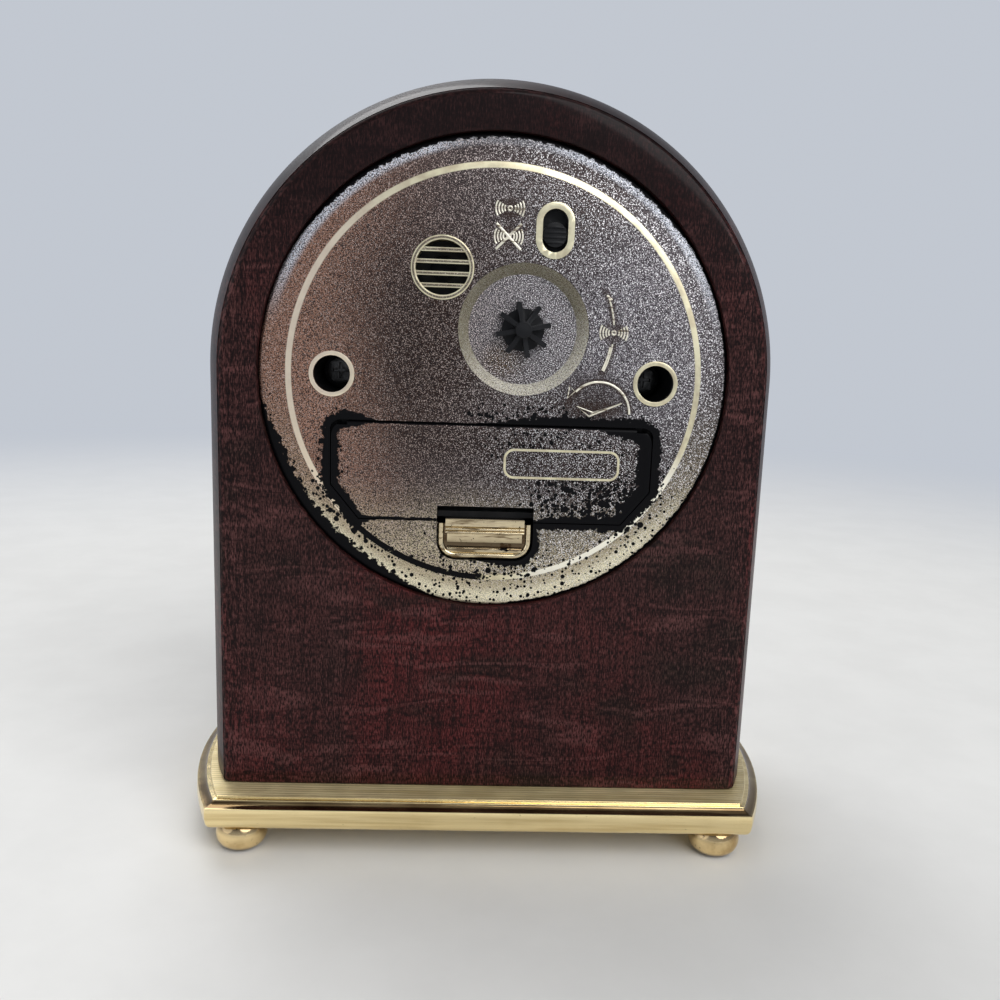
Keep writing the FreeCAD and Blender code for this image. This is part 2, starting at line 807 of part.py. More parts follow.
def lens():
    return rod(lens_radius, lens_front, lens_back)


def spacer_ring():
    return pipe(lens_radius, lens_radius - spacer_ring_width, lens_back, dial_face)


def dial():
    return pipe(lens_radius, dial_hole_radius, dial_face, housing_front)


def clock_turn(shape, degrees):
    """Turns a shape made at twelve o'clock to its place on the dial, clockwise from the front."""
    shape.rotate(on_insert(0, 0, 0), FreeCAD.Vector(0, 1, 0), degrees)
    return shape


def minute_track():
    top = dial_face - print_height
    inner = track_outer_radius - track_width
    track = pipe(track_outer_radius, track_outer_radius - track_line, top, dial_face)
    track = track.fuse(pipe(inner + track_line, inner, top, dial_face))
    ticks = []
    for minute in range(60):
        half = (hour_tick_width if minute % 5 == 0 else tick_width) / 2
        tick = box((-half, top, inner + track_line / 2),
                   (half, dial_face, track_outer_radius - track_line / 2))
        ticks.append(clock_turn(tick, minute * 6))
    return track.multiFuse(ticks)


def numeral_strokes(text):
    """Strokes of a Roman numeral as (x at foot, x at head, width), and the numeral's width."""
    strokes = []
    x = 0
    for letter in text:
        if letter == "I":
            strokes.append((x + numeral_thick / 2, x + numeral_thick / 2, numeral_thick))
            x += numeral_thick + numeral_gap
        elif letter == "V":
            foot = x + numeral_slant / 2 + numeral_thick / 2
            strokes.append((foot, x + numeral_thick / 2, numeral_thick))
            strokes.append((foot, x + numeral_slant + numeral_thick / 2, numeral_thin))
            x += numeral_slant + numeral_thick + numeral_gap
        else:
            low, high = x + numeral_thick / 2, x + numeral_slant + numeral_thick / 2
            strokes.append((high, low, numeral_thick))
            strokes.append((low, high, numeral_thin))
            x += numeral_slant + numeral_thick + numeral_gap
    return strokes, x - numeral_gap


def dial_numerals():
    top = dial_face - print_height
    texts = ["XII", "I", "II", "III", "IIII", "V", "VI", "VII", "VIII", "IX", "X", "XI"]
    low = numeral_outer_radius - numeral_height
    high = numeral_outer_radius
    numerals = []
    for hour, text in enumerate(texts):
        strokes, width = numeral_strokes(text)
        shift = width / 2
        pieces = [box((-shift, top, z), (shift, dial_face, z + numeral_thin))
                  for z in (low, high - numeral_thin)]
        for foot, head, thick in strokes:
            path = [(foot - shift - thick / 2, low), (foot - shift + thick / 2, low),
                    (head - shift + thick / 2, high), (head - shift - thick / 2, high)]
            pieces.append(slab(path, top, dial_face))
        numeral = pieces[0].multiFuse(pieces[1:])
        numerals.append(clock_turn(numeral, hour * 30))
    return Part.makeCompound(numerals)


# Shells of the insert

def insert_housing():
    body = pipe(housing_radius, housing_inner, bezel_skirt_end + fit_clearance, housing_split)
    spigot = pipe(lens_radius, lens_radius - housing_wall, housing_front, bezel_skirt_end + fit_clearance)
    shoulder = pipe(housing_radius, lens_radius - housing_wall, bezel_skirt_end + fit_clearance,
                    bezel_skirt_end + fit_clearance + housing_wall)
    wall = pipe(lens_radius, dial_hole_radius, housing_front, plate_front)
    housing = body.fuse(spigot).fuse(shoulder).fuse(wall)
    for axis in well_axes:
        housing = housing.fuse(rod(boss_radius, plate_front, well_floor, axis))
        housing = housing.cut(rod(cover_screw_radius + press_clearance, plate_front, well_floor, axis))
    for axis in pillar_axes:
        housing = housing.cut(rod(movement_screw_radius + fit_clearance, plate_front - housing_front_wall / 2,
                                  plate_front, axis))
    return housing


def door_polygon():
    """The battery door's outline, anticlockwise as X and Z."""
    return [(-door_low_half_width, door_bottom_z), (door_low_half_width, door_bottom_z),
            (door_half_width, door_side_low_z), (door_half_width, door_top_z),
            (-door_half_width, door_top_z), (-door_half_width, door_side_low_z)]


def door_path(amount, corner):
    return rounded(grown(door_polygon(), amount), [0, 0, 0, corner, corner, 0])


def latch_path(amount, top):
    """The latch's outline: straight sides and rounded lower corners."""
    left = latch_x - latch_width / 2 - amount
    right = latch_x + latch_width / 2 + amount
    corner = latch_corner_radius + amount
    points = [(left, latch_bottom_z - amount), (right, latch_bottom_z - amount), (right, top), (left, top)]
    return rounded(points, [corner, corner, 0, 0])


def cover_shell():
    """The turned shell: skirt, outer ring, smooth step and middle disc."""
    edge_turn = math.pi / 4
    edge_middle = (cover_radius - cover_edge_radius * (1 - math.cos(edge_turn)),
                   cover_ring_face - cover_edge_radius * (1 - math.sin(edge_turn)))
    path = [(0, cover_face), (cover_disc_radius, cover_face),
            (cover_disc_radius + cover_step_width, cover_ring_face),
            (cover_radius - cover_edge_radius, cover_ring_face),
            (edge_middle, (cover_radius, cover_ring_face - cover_edge_radius)),
            (cover_radius, housing_split), (cover_radius - skirt_wall, housing_split),
            (cover_radius - skirt_wall, cover_inside), (0, cover_inside)]
    return turned(path)


def cover_dish(cover):
    axis = (dish_x, dish_z)
    back = dish_floor - dish_wall
    boss = [(0, back), (dish_floor_radius + dish_wall, back), (dish_radius + dish_wall, cover_inside),
            (dish_radius + dish_wall, cover_face), (0, cover_face)]
    hollow = [(0, dish_floor), (dish_floor_radius, dish_floor), (dish_radius, cover_face),
              (dish_radius, cover_face + cut_overrun), (0, cover_face + cut_overrun)]
    cover = cover.fuse(turned(boss, axis)).cut(turned(hollow, axis))
    return cover.cut(rod(set_arbor_radius + running_clearance, back, dish_floor, axis))


def cover_wells(cover):
    for axis in well_axes:
        cover = cover.fuse(rod(well_rim_radius, cover_inside, cover_face + rim_height, axis))
        cover = cover.fuse(rod(well_radius + well_wall, well_floor, cover_face, axis))
        cover = cover.cut(rod(well_radius, well_floor + well_floor_thickness, cover_face + 2 * rim_height,
                              axis))
        cover = cover.cut(rod(cover_screw_radius + fit_clearance, well_floor,
                              well_floor + well_floor_thickness, axis))
    return cover


def cover_grille(cover):
    """Sound grille: slots between bars, and a ring behind that carries the buzzer."""
    x, z = grille_axis
    cover = cover.fuse(pipe(grille_radius + duct_wall, grille_radius, buzzer_back, cover_inside, grille_axis))
    cover = cover.fuse(pipe(grille_rim_radius, grille_radius, cover_inside, cover_face + rim_height,
                            grille_axis))
    slot_height = (2 * grille_radius - (grille_slots - 1) * grille_bar) / grille_slots
    opening = rod(grille_radius, buzzer_back, cover_face + rim_height + cut_overrun, grille_axis)
    for i in range(grille_slots):
        low = z - grille_radius + i * (slot_height + grille_bar)
        band = box((x - grille_radius, buzzer_back, low),
                   (x + grille_radius, cover_face + rim_height + cut_overrun, low + slot_height))
        cover = cover.cut(band.common(opening))
    behind = rod(grille_radius, buzzer_back - cut_overrun, cover_inside, grille_axis)
    return cover.cut(behind)


def cover_switch(cover):
    """Rimmed slot for the alarm switch, and its two guides behind."""
    outer = stadium(switch_x, switch_z, switch_slot_width + 2 * switch_rim,
                    switch_slot_height + 2 * switch_rim)
    inner = stadium(switch_x, switch_z, switch_slot_width, switch_slot_height)
    cover = cover.fuse(slab(outer, cover_inside, cover_face + rim_height))
    for side in (-1, 1):
        wall = sorted([switch_x + side * (flange_width / 2 + slide_gap),
                       switch_x + side * (flange_width / 2 + slide_gap + guide_wall)])
        lip = sorted([switch_x + side * (flange_width / 2 - guide_lip), wall[0 if side < 0 else 1]])
        low, high = button_z - flange_below, button_z + flange_above + button_travel
        cover = cover.fuse(box((wall[0], guide_bottom, low), (wall[1], cover_inside, high)))
        cover = cover.fuse(box((lip[0], guide_bottom, low), (lip[1], guide_bottom + guide_lip, high)))
    return cover.cut(slab(inner, cover_inside - cut_overrun, cover_face + 2 * rim_height))


def cover_door_bay(cover):
    """Recess, ledge and opening for the battery door, and the pocket for its latch."""
    cover = cover.fuse(slab(door_path(frame_width, door_corner_radius), ledge_bottom, cover_inside))
    low = latch_bottom_z - latch_gap - pocket_floor
    floor_top = stem_back - door_lift_clearance
    pocket = rectangle(latch_x - latch_width / 2 - latch_gap - frame_width,
                       latch_x + latch_width / 2 + latch_gap + frame_width, low, door_bottom_z - frame_width)
    cover = cover.fuse(slab(pocket, floor_top - pocket_floor, cover_inside))
    cover = cover.cut(slab(door_path(door_gap, door_recess_corner), ledge_top, cover_face + cut_overrun))
    cover = cover.cut(slab(door_path(-ledge_width, door_corner_radius),
                           ledge_bottom - pocket_floor - cut_overrun, cover_face))
    cover = cover.cut(slab(latch_path(latch_gap, door_bottom_z + ledge_width), floor_top,
                           cover_face + cut_overrun))
    for side in (-1, 1):
        half = tab_width / 2 + latch_gap
        middle = side * tab_spacing
        cover = cover.cut(box((middle - half, ledge_bottom, bay_top_z - cut_overrun),
                              (middle + half, cover_inside, door_top_z + frame_width)))
        cover = cover.cut(box((middle - half, ledge_bottom, bay_top_z - cut_overrun),
                              (middle + half, ledge_top, door_top_z + door_gap)))
    return cover


def back_cover():
    cover = cover_shell()
    cover = cover_dish(cover)
    cover = cover_wells(cover)
    cover = cover_grille(cover)
    cover = cover_switch(cover)
    return cover_door_bay(cover)


def cover_screws():
    screws = []
    for axis in well_axes:
        seat = well_floor + well_floor_thickness
        screw = rod(cover_screw_radius, seat - cover_screw_depth, seat, axis)
        screw = screw.fuse(rod(cover_screw_head_radius, seat, seat + cover_screw_head_height, axis))
        top = seat + cover_screw_head_height
        recess = cross_slot(cover_screw_head_radius * cross_slot_share, top - cross_slot_depth, top, axis)
        screw = screw.cut(recess)
        screws.append(screw)
    return Part.makeCompound(screws)


# Movement plates

def plate_blank(low_y, high_y):
    path = rectangle(plate_left, plate_right, plate_bottom, plate_top, plate_corner)
    plate = slab(path, low_y, high_y)
    for axis in pillar_axes:
        plate = plate.cut(rod(movement_screw_radius + fit_clearance, low_y, high_y, axis))
    return plate


def drilled(plate, radius, low_y, high_y, axis):
    return plate.cut(rod(radius + running_clearance, low_y, high_y, axis))


def front_plate():
    plate = plate_blank(plate_front, front_plate_back)
    plate = drilled(plate, alarm_pipe_radius, plate_front, front_plate_back, centre_axis)
    return drilled(plate, set_arbor_radius, plate_front, front_plate_back, set_axis)


def middle_plate():
    plate = plate_blank(middle_plate_front, middle_plate_back)
    plate = drilled(plate, cannon_radius, middle_plate_front, middle_plate_back, centre_axis)
    plate = drilled(plate, set_arbor_radius, middle_plate_front, middle_plate_back, set_axis)
    for axis in (third_axis, fifth_axis, rotor_axis):
        plate = drilled(plate, pivot_radius, middle_plate_front, middle_plate_back, axis)
    return plate


def back_plate():
    plate = plate_blank(back_plate_front, back_plate_back)
    plate = drilled(plate, arbor_radius, back_plate_front, back_plate_back, centre_axis)
    plate = drilled(plate, set_arbor_radius, back_plate_front, back_plate_back, set_axis)
    for axis in (third_axis, fifth_axis, rotor_axis):
        plate = drilled(plate, pivot_radius, back_plate_front, back_plate_back, axis)
    return plate


def plate_spacers():
    tubes = []
    for axis in pillar_axes:
        bore = movement_screw_radius + fit_clearance
        tubes.append(pipe(spacer_radius, bore, front_plate_back, middle_plate_front, axis))
        tubes.append(pipe(spacer_radius, bore, middle_plate_back, back_plate_front, axis))
    return Part.makeCompound(tubes)


def movement_screws():
    screws = []
    for axis in pillar_axes:
        head = back_plate_back + movement_screw_head_height
        screw = rod(movement_screw_radius, plate_front - housing_front_wall / 2, back_plate_back, axis)
        screw = screw.fuse(rod(movement_screw_head_radius, back_plate_back, head, axis))
        screw = screw.cut(cross_slot(movement_screw_head_radius / 2, head - movement_screw_head_height / 2,
                                     head, axis))
        screws.append(screw)
    return Part.makeCompound(screws)


# Motor and electronics

def stator():
    """Two legs from the rotor's eye to the ends of the coil core, and the core itself."""
    eye = rod(stator_eye_radius, stator_front, stator_back, rotor_axis)
    half = core_width / 2
    low_leg = box((rotor_axis[0], stator_front, coil_low_z - stator_leg_width),
                  (coil_x + half, stator_back, coil_low_z))
    low_link = box((rotor_axis[0] - stator_leg_width / 2, stator_front, coil_low_z - stator_leg_width),
                   (rotor_axis[0] + stator_leg_width / 2, stator_back, rotor_axis[1]))
    high_leg = box((rotor_axis[0] - stator_leg_width / 2, stator_front, coil_high_z),
                   (coil_x + half, stator_back, coil_high_z + stator_leg_width))
    high_link = box((rotor_axis[0] - stator_leg_width / 2, stator_front, rotor_axis[1]),
                    (rotor_axis[0] + stator_leg_width / 2, stator_back, coil_high_z + stator_leg_width))
    core = box((coil_x - half, stator_front, coil_low_z), (coil_x + half, stator_back, coil_high_z))
    plate = eye.multiFuse([low_leg, low_link, high_leg, high_link, core])
    return plate.cut(rod(magnet_radius + stator_hole_gap, stator_front, stator_back, rotor_axis))


def coil_rod(radius, low_z, high_z):
    """A cylinder along Z on the coil's axis."""
    middle_y = (stator_front + stator_back) / 2
    return Part.makeCylinder(radius, high_z - low_z, on_insert(coil_x, middle_y, low_z))


def coil_core(grow):
    half = core_width / 2 + grow
    return box((coil_x - half, stator_front - grow, coil_low_z),
               (coil_x + half, stator_back + grow, coil_high_z))


def bobbin_tube_radius():
    return math.hypot(core_width / 2, stator_thickness / 2) + bobbin_tube


def coil_bobbin():
    bobbin = coil_rod(bobbin_tube_radius(), coil_low_z, coil_high_z)
    bobbin = bobbin.fuse(coil_rod(bobbin_flange_radius, coil_low_z, coil_low_z + bobbin_flange))
    bobbin = bobbin.fuse(coil_rod(bobbin_flange_radius, coil_high_z - bobbin_flange, coil_high_z))
    return bobbin.cut(coil_core(press_clearance))


def coil():
    low, high = coil_low_z + bobbin_flange, coil_high_z - bobbin_flange
    return coil_rod(coil_radius, low, high).cut(coil_rod(bobbin_tube_radius() + press_clearance, low, high))


def circuit_board():
    path = rectangle(board_left, board_right, board_bottom, board_top)
    board = slab(path, back_plate_back, board_back)
    board = board.cut(rod(set_arbor_radius + board_hole_gap, back_plate_back, board_back, set_axis))
    for axis in pillar_axes:
        board = board.cut(rod(movement_screw_head_radius + board_hole_gap, back_plate_back, board_back, axis))
    dome_middle = (chip_radius * math.cos(math.pi / 4), board_back + chip_height * math.sin(math.pi / 4))
    dome = [(0, board_back), (chip_radius, board_back), (dome_middle, (0, board_back + chip_height))]
    return board.fuse(turned(dome, (chip_x, chip_z)))


def quartz_crystal():
    at = on_insert(crystal_x, board_back + crystal_radius, crystal_z)
    return Part.makeCylinder(crystal_radius, crystal_length, at, FreeCAD.Vector(1, 0, 0))


def buzzer():
    can = rod(buzzer_radius, buzzer_front, buzzer_back, grille_axis)
    can = can.cut(rod(buzzer_radius - buzzer_wall, buzzer_front + buzzer_wall, buzzer_back - buzzer_wall,
                      grille_axis))
    return can.cut(rod(buzzer_sound_hole, buzzer_back - buzzer_wall, buzzer_back, grille_axis))


def buzzer_leads():
    leads = []
    for side in (-1, 1):
        axis = (grille_axis[0] + side * lead_spacing / 2, board_top - lead_inset)
        leads.append(rod(lead_radius, board_back, buzzer_front, axis))
    return Part.makeCompound(leads)


def switch_leaf():
    """A bent strip from the circuit board to the underside of the alarm switch."""
    low, high = switch_x - leaf_width / 2, switch_x + leaf_width / 2
    post = box((low, board_back, leaf_foot_z), (high, leaf_top, leaf_foot_z + leaf_thickness))
    reach = box((low, leaf_top - leaf_thickness, leaf_foot_z), (high, leaf_top, button_z))
    bump = box((low, leaf_top, button_z - flange_below), (high, flange_bottom - slide_gap, button_z))
    return post.fuse(reach).fuse(bump)


# Battery bay

def battery_tray():
    outer = rectangle(-bay_half_width - tray_wall, bay_half_width + tray_wall,
                      bay_bottom_z - tray_wall, bay_top_z + tray_wall)
    inner = rectangle(-bay_half_width, bay_half_width, bay_bottom_z, bay_top_z)
    tray = slab(outer, tray_floor_y, ledge_bottom)
    tray = tray.cut(slab(inner, tray_floor_y + tray_wall, ledge_bottom))
    for side in (-1, 1):
        half = tab_width / 2 + latch_gap
        middle = side * tab_spacing
        tray = tray.cut(box((middle - half, ledge_bottom - tab_sweep, bay_top_z),
                            (middle + half, ledge_bottom, bay_top_z + tray_wall)))
    return tray


def rod_x(radius, low_x, high_x, y, z):
    return Part.makeCylinder(radius, high_x - low_x, on_insert(low_x, y, z), FreeCAD.Vector(1, 0, 0))


def battery():
    can = rod_x(cell_radius, positive_x + cell_nub_length, negative_x, cell_y, cell_z)
    return can.fuse(rod_x(cell_nub_radius, positive_x, positive_x + cell_nub_length, cell_y, cell_z))


def battery_contact():
    """Positive contact: a plate in the tray's end with a pressed dimple."""
    half = contact_size / 2
    low = -bay_half_width
    plate = box((low, cell_y - half, cell_z - half), (low + contact_thickness, cell_y + half, cell_z + half))
    return plate.fuse(rod_x(cell_nub_radius, low + contact_thickness, positive_x, cell_y, cell_z))


def battery_spring():
    """Negative contact: a plate with a conical spring, drawn as a hollow cone."""
    half = contact_size / 2
    high = bay_half_width
    plate = box((high - contact_thickness, cell_y - half, cell_z - half),
                (high, cell_y + half, cell_z + half))
    length = high - contact_thickness - negative_x
    at = on_insert(negative_x, cell_y, cell_z)
    cone = Part.makeCone(spring_end_radius, spring_base_radius, length, at, FreeCAD.Vector(1, 0, 0))
    inside = Part.makeCone(spring_end_radius - spring_wire, spring_base_radius - spring_wire, length, at,
                           FreeCAD.Vector(1, 0, 0))
    return plate.fuse(cone.cut(inside))


def label_outline():
    """Raised outline of a blank label panel on the door."""
    low_x, high_x = label_x - label_width / 2, label_x + label_width / 2
    low_z, high_z = label_z - label_height / 2, label_z + label_height / 2
    outer = rectangle(low_x, high_x, low_z, high_z, label_corner)
    inner = rectangle(low_x + label_line, high_x - label_line, low_z + label_line, high_z - label_line,
                      label_corner - label_line)
    top = cover_face + label_rise
    return slab(outer, door_inside, top).cut(slab(inner, cover_face, top))


def battery_door():
    panel = slab(door_path(0, door_corner_radius), door_inside, cover_face)
    above = box((-door_half_width, door_inside, hinge_z), (door_half_width, cover_face, door_top_z))
    nose_half = door_half_width - door_corner_radius
    nose = rod_x(door_thickness / 2, -nose_half, nose_half, hinge_y, hinge_z)
    door = panel.cut(above).fuse(nose)
    notch_half = latch_width / 2 + latch_gap
    door = door.cut(box((latch_x - notch_half, door_inside, door_bottom_z),
                        (latch_x + notch_half, cover_face, latch_notch_top_z)))
    for side in (-1, 1):
        middle = side * tab_spacing
        root_top = bay_top_z - door_gap
        low_x, high_x = middle - tab_width / 2, middle + tab_width / 2
        door = door.fuse(box((low_x, ledge_bottom, root_top - tab_root), (high_x, door_inside, root_top)))
        door = door.fuse(box((low_x, ledge_bottom, root_top - tab_root),
                             (high_x, ledge_bottom + tab_thickness, door_top_z + tab_reach)))
    for side in (-1, 1):
        near = latch_x + side * (stem_width / 2 + slide_gap)
        far = near + side * rail_width
        lip = near - side * rail_lip
        low, high = latch_notch_top_z, rail_top_z
        deep = stem_back - door_lift_clearance
        door = door.fuse(box((min(near, far), deep - rail_thickness, low),
                             (max(near, far), door_inside, high)))
        door = door.fuse(box((min(lip, far), deep - rail_thickness, low), (max(lip, far), deep, high)))
    return door.fuse(label_outline())


def door_latch():
    """Ribbed finger grip, rimmed body and the stem that slides behind the door."""
    body = slab(latch_path(0, latch_body_top_z), stem_back, cover_face)
    dip_top = latch_grip_top_z - latch_grip_height
    dip = rounded([(latch_x - latch_width / 2 + latch_rim, latch_bottom_z + latch_rim),
                   (latch_x + latch_width / 2 - latch_rim, latch_bottom_z + latch_rim),
                   (latch_x + latch_width / 2 - latch_rim, dip_top),
                   (latch_x - latch_width / 2 + latch_rim, dip_top)],
                  [latch_corner_radius - latch_rim, latch_corner_radius - latch_rim, 0, 0])
    body = body.cut(slab(dip, cover_face - latch_dip, cover_face))
    half = latch_grip_width / 2
    grip = box((latch_x - half, stem_back, dip_top), (latch_x + half, cover_face, latch_grip_top_z))
    latch = body.fuse(grip)
    pitch = latch_grip_height / latch_ribs
    for i in range(latch_ribs):
        middle = dip_top + pitch * (i + 0.5)
        rib = Part.makeCylinder(latch_rib_height, latch_grip_width - 2 * latch_rib_height,
                                on_insert(latch_x - half + latch_rib_height, cover_face, middle),
                                FreeCAD.Vector(1, 0, 0))
        latch = latch.fuse(rib)
    stem = box((latch_x - stem_width / 2, stem_back, latch_body_top_z),
               (latch_x + stem_width / 2, stem_back + stem_thickness, stem_top_z))
    return latch.fuse(stem)


# Alarm switch and set knob

def alarm_switch():
    top = cover_face - button_recess
    button = rod(button_radius, flange_top, top, (switch_x, button_z))
    pitch = 2 * button_radius / (button_ridges + 1)
    for i in range(button_ridges):
        z = button_z - button_radius + pitch * (i + 1)
        half = math.sqrt(button_radius ** 2 - (z - button_z) ** 2) * button_ridge_share
        button = button.fuse(box((switch_x - half, top, z - button_ridge_width / 2),
                                 (switch_x + half, top + button_ridge_height, z + button_ridge_width / 2)))
    flange = box((switch_x - flange_width / 2, flange_bottom, button_z - flange_below),
                 (switch_x + flange_width / 2, flange_top, button_z + flange_above))
    return button.fuse(flange)


def set_knob():
    knob = rod(knob_disc_radius, knob_back, knob_back + knob_disc_height, set_axis)
    half = knob_blade_width / 2
    for i in range(knob_blades):
        blade = box((dish_x, knob_back, dish_z - half),
                    (dish_x + knob_tip_radius, knob_back + knob_blade_height, dish_z + half))
        blade.rotate(on_insert(dish_x, 0, dish_z), FreeCAD.Vector(0, 1, 0), knob_turn + i * 360 / knob_blades)
        knob = knob.fuse(blade)
    knob = knob.fuse(rod(knob_hub_radius, knob_back, knob_end, set_axis))
    bore = rod(set_arbor_radius + press_clearance, knob_back, knob_back + knob_blade_height, set_axis)
    return knob.cut(bore)


# Wheels and pipes. The cannon pinion and its mates are phased from the cannon pinion,
# and the running train from the second wheel.

cannon_phase = 0.0
set_wheel_phase = mesh_phase(centre_axis, cannon_teeth, cannon_phase, set_axis, set_wheel_teeth)
hour_phase = 0.0
set_pinion_phase = mesh_phase(centre_axis, hour_teeth, hour_phase, set_axis, set_pinion_teeth)
second_pinion_phase = 0.0
third_wheel_phase = mesh_phase(centre_axis, second_pinion_teeth, second_pinion_phase, third_axis, third_teeth)
third_pinion_phase = 0.0
centre_phase = mesh_phase(third_axis, third_pinion_teeth, third_pinion_phase, centre_axis, centre_teeth)
second_phase = 0.0
fifth_pinion_phase = mesh_phase(centre_axis, second_teeth, second_phase, fifth_axis, fifth_pinion_teeth)
fifth_phase = 0.0
rotor_phase = mesh_phase(fifth_axis, fifth_teeth, fifth_phase, rotor_axis, rotor_pinion_teeth)


def set_wheel():
    front = plate_front + wheel_gap
    pinion_front = hour_wheel_front - pinion_overhang
    pinion_back = hour_wheel_back + pinion_overhang
    wheel = gear(set_wheel_teeth, motion_module, set_wheel_front, set_wheel_back, set_axis, set_wheel_phase)
    pinion = gear(set_pinion_teeth, hour_module, pinion_front, pinion_back, set_axis, set_pinion_phase)
    arbor = rod(set_arbor_radius, front, knob_back + knob_blade_height - slide_gap, set_axis)
    return wheel.fuse(pinion).fuse(arbor)


def cannon_pinion():
    bore = arbor_radius + running_clearance
    front = minute_hand_front - pipe_proud
    back = centre_wheel_back + wheel_gap
    pinion = gear(cannon_teeth, motion_module, cannon_pinion_front, cannon_pinion_back, centre_axis,
                  cannon_phase)
    cannon = pinion.fuse(rod(cannon_radius, front, cannon_pinion_back, centre_axis))
    cannon = cannon.fuse(rod(cannon_radius - running_clearance, cannon_pinion_back, back, centre_axis))
    return cannon.cut(rod(bore, front, back, centre_axis))


def hour_wheel():
    bore = cannon_radius + running_clearance
    front = hour_hand_front - pipe_proud
    wheel = gear(hour_teeth, hour_module, hour_wheel_front, hour_wheel_back, centre_axis, hour_phase)
    wheel = wheel.fuse(rod(hour_pipe_radius, front, hour_wheel_back, centre_axis))
    return wheel.cut(rod(bore, front, hour_wheel_back, centre_axis))


def alarm_wheel():
    bore = hour_pipe_radius + running_clearance
    front = alarm_hand_front - pipe_proud
    wheel = gear(alarm_teeth, hour_module, alarm_wheel_front, alarm_wheel_back, centre_axis, 0.0)
    wheel = wheel.fuse(rod(alarm_pipe_radius, front, alarm_wheel_back, centre_axis))
    return wheel.cut(rod(bore, front, alarm_wheel_back, centre_axis))


def second_wheel():
    back = back_plate_back - wheel_gap
    wheel = gear(second_teeth, second_module, second_wheel_front, second_wheel_back, centre_axis,
                 second_phase)
    pinion = gear(second_pinion_teeth, third_module, third_wheel_front - pinion_overhang,
                  third_wheel_back + pinion_overhang, centre_axis, second_pinion_phase)
    arbor = rod(arbor_radius, second_hand_front, back, centre_axis)
    return wheel.fuse(pinion).fuse(arbor)


def centre_wheel():
    wheel = gear(centre_teeth, centre_module, centre_wheel_front, centre_wheel_back, centre_axis,
                 centre_phase)
    return wheel.cut(rod(cannon_radius, centre_wheel_front, centre_wheel_back, centre_axis))


def pivoted(front, back, axis):
    """An arbor with a thinner pivot in the middle and the back plate."""
    arbor = rod(arbor_radius, middle_plate_back + wheel_gap, back_plate_front - wheel_gap, axis)
    return arbor.fuse(rod(pivot_radius, front, back, axis))


def third_wheel():
    pivots = pivoted(middle_plate_front + wheel_gap, back_plate_back - wheel_gap, third_axis)
    wheel = gear(third_teeth, third_module, third_wheel_front, third_wheel_back, third_axis,
                 third_wheel_phase)
    pinion = gear(third_pinion_teeth, centre_module, centre_wheel_front - pinion_overhang,
                  centre_wheel_back + pinion_overhang, third_axis, third_pinion_phase)
    return wheel.fuse(pinion).fuse(pivots)


def fifth_wheel():
    pivots = pivoted(middle_plate_front + wheel_gap, back_plate_back - wheel_gap, fifth_axis)
    wheel = gear(fifth_teeth, fifth_module, fifth_wheel_front, fifth_wheel_back, fifth_axis, fifth_phase)
    pinion = gear(fifth_pinion_teeth, second_module, second_wheel_front - pinion_overhang,
                  second_wheel_back + pinion_overhang, fifth_axis, fifth_pinion_phase)
    return wheel.fuse(pinion).fuse(pivots)


def rotor():
    pivots = rod(pivot_radius, middle_plate_front + wheel_gap, back_plate_back - wheel_gap, rotor_axis)
    pinion = gear(rotor_pinion_teeth, fifth_module, fifth_wheel_front - pinion_overhang, magnet_front,
                  rotor_axis, rotor_phase)
    return pivots.fuse(pinion).fuse(rod(magnet_radius, magnet_front, magnet_back, rotor_axis))


# Hands

def hand(length, width, hub, bore, low_y, high_y, degrees):
    """A tapered hand with a round hub, pointing to twelve before it is turned."""
    half = width / 2
    shoulder = length * hand_shoulder_share
    path = [(0, length), (-half, shoulder), (-half / 2, 0), (half / 2, 0), (half, shoulder)]
    blade = slab(path, low_y, high_y).fuse(rod(hub, low_y, high_y))
    return clock_turn(blade.cut(rod(bore, low_y, high_y)), degrees)


def hour_hand():
    bore = hour_pipe_radius + press_clearance
    return hand(hour_hand_length, hour_hand_width, bore + hub_wall, bore, hour_hand_front, hour_hand_back,
                hour_hand_turn)


def minute_hand():
    bore = cannon_radius + press_clearance
    return hand(minute_hand_length, minute_hand_width, bore + hub_wall, bore, minute_hand_front,
                minute_hand_back, minute_hand_turn)


def alarm_hand():
    bore = alarm_pipe_radius + press_clearance
    return hand(alarm_hand_length, alarm_hand_width, bore + hub_wall, bore, alarm_hand_front,
                alarm_hand_back, alarm_hand_turn)


def second_hand():
    half = second_hand_width / 2
    path = [(-half, -second_hand_tail), (half, -second_hand_tail), (half / 2, second_hand_length),
            (-half / 2, second_hand_length)]
    blade = slab(path, second_hand_front, second_hand_back)
    cap = rod(second_cap_radius, second_hand_back - second_cap_height, second_hand_back)
    hand_solid = blade.fuse(cap).cut(rod(arbor_radius + press_clearance, second_hand_front, second_hand_back))
    return clock_turn(hand_solid, second_hand_turn)


pieces = [wood_case, brass_base, bun_feet, base_screws, bezel, lens, spacer_ring, dial, minute_track,
          dial_numerals, insert_housing, back_cover, cover_screws, front_plate, middle_plate, back_plate,
          plate_spacers, movement_screws, stator, coil_bobbin, coil, circuit_board, quartz_crystal, buzzer,
          buzzer_leads, switch_leaf, battery_tray, battery, battery_contact, battery_spring, battery_door,
          door_latch, alarm_switch, set_knob, set_wheel, cannon_pinion, hour_wheel, alarm_wheel,
          second_wheel, centre_wheel, third_wheel, fifth_wheel, rotor, hour_hand, minute_hand, alarm_hand,
          second_hand]
for piece in pieces:
    save(piece.__name__, piece())
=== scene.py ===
from math import asin, atan, atan2, cos, degrees, dist, hypot, pi, radians, sin, sqrt, tan
from types import SimpleNamespace as Fields

import bmesh
import bpy
from mathutils import Matrix, Vector


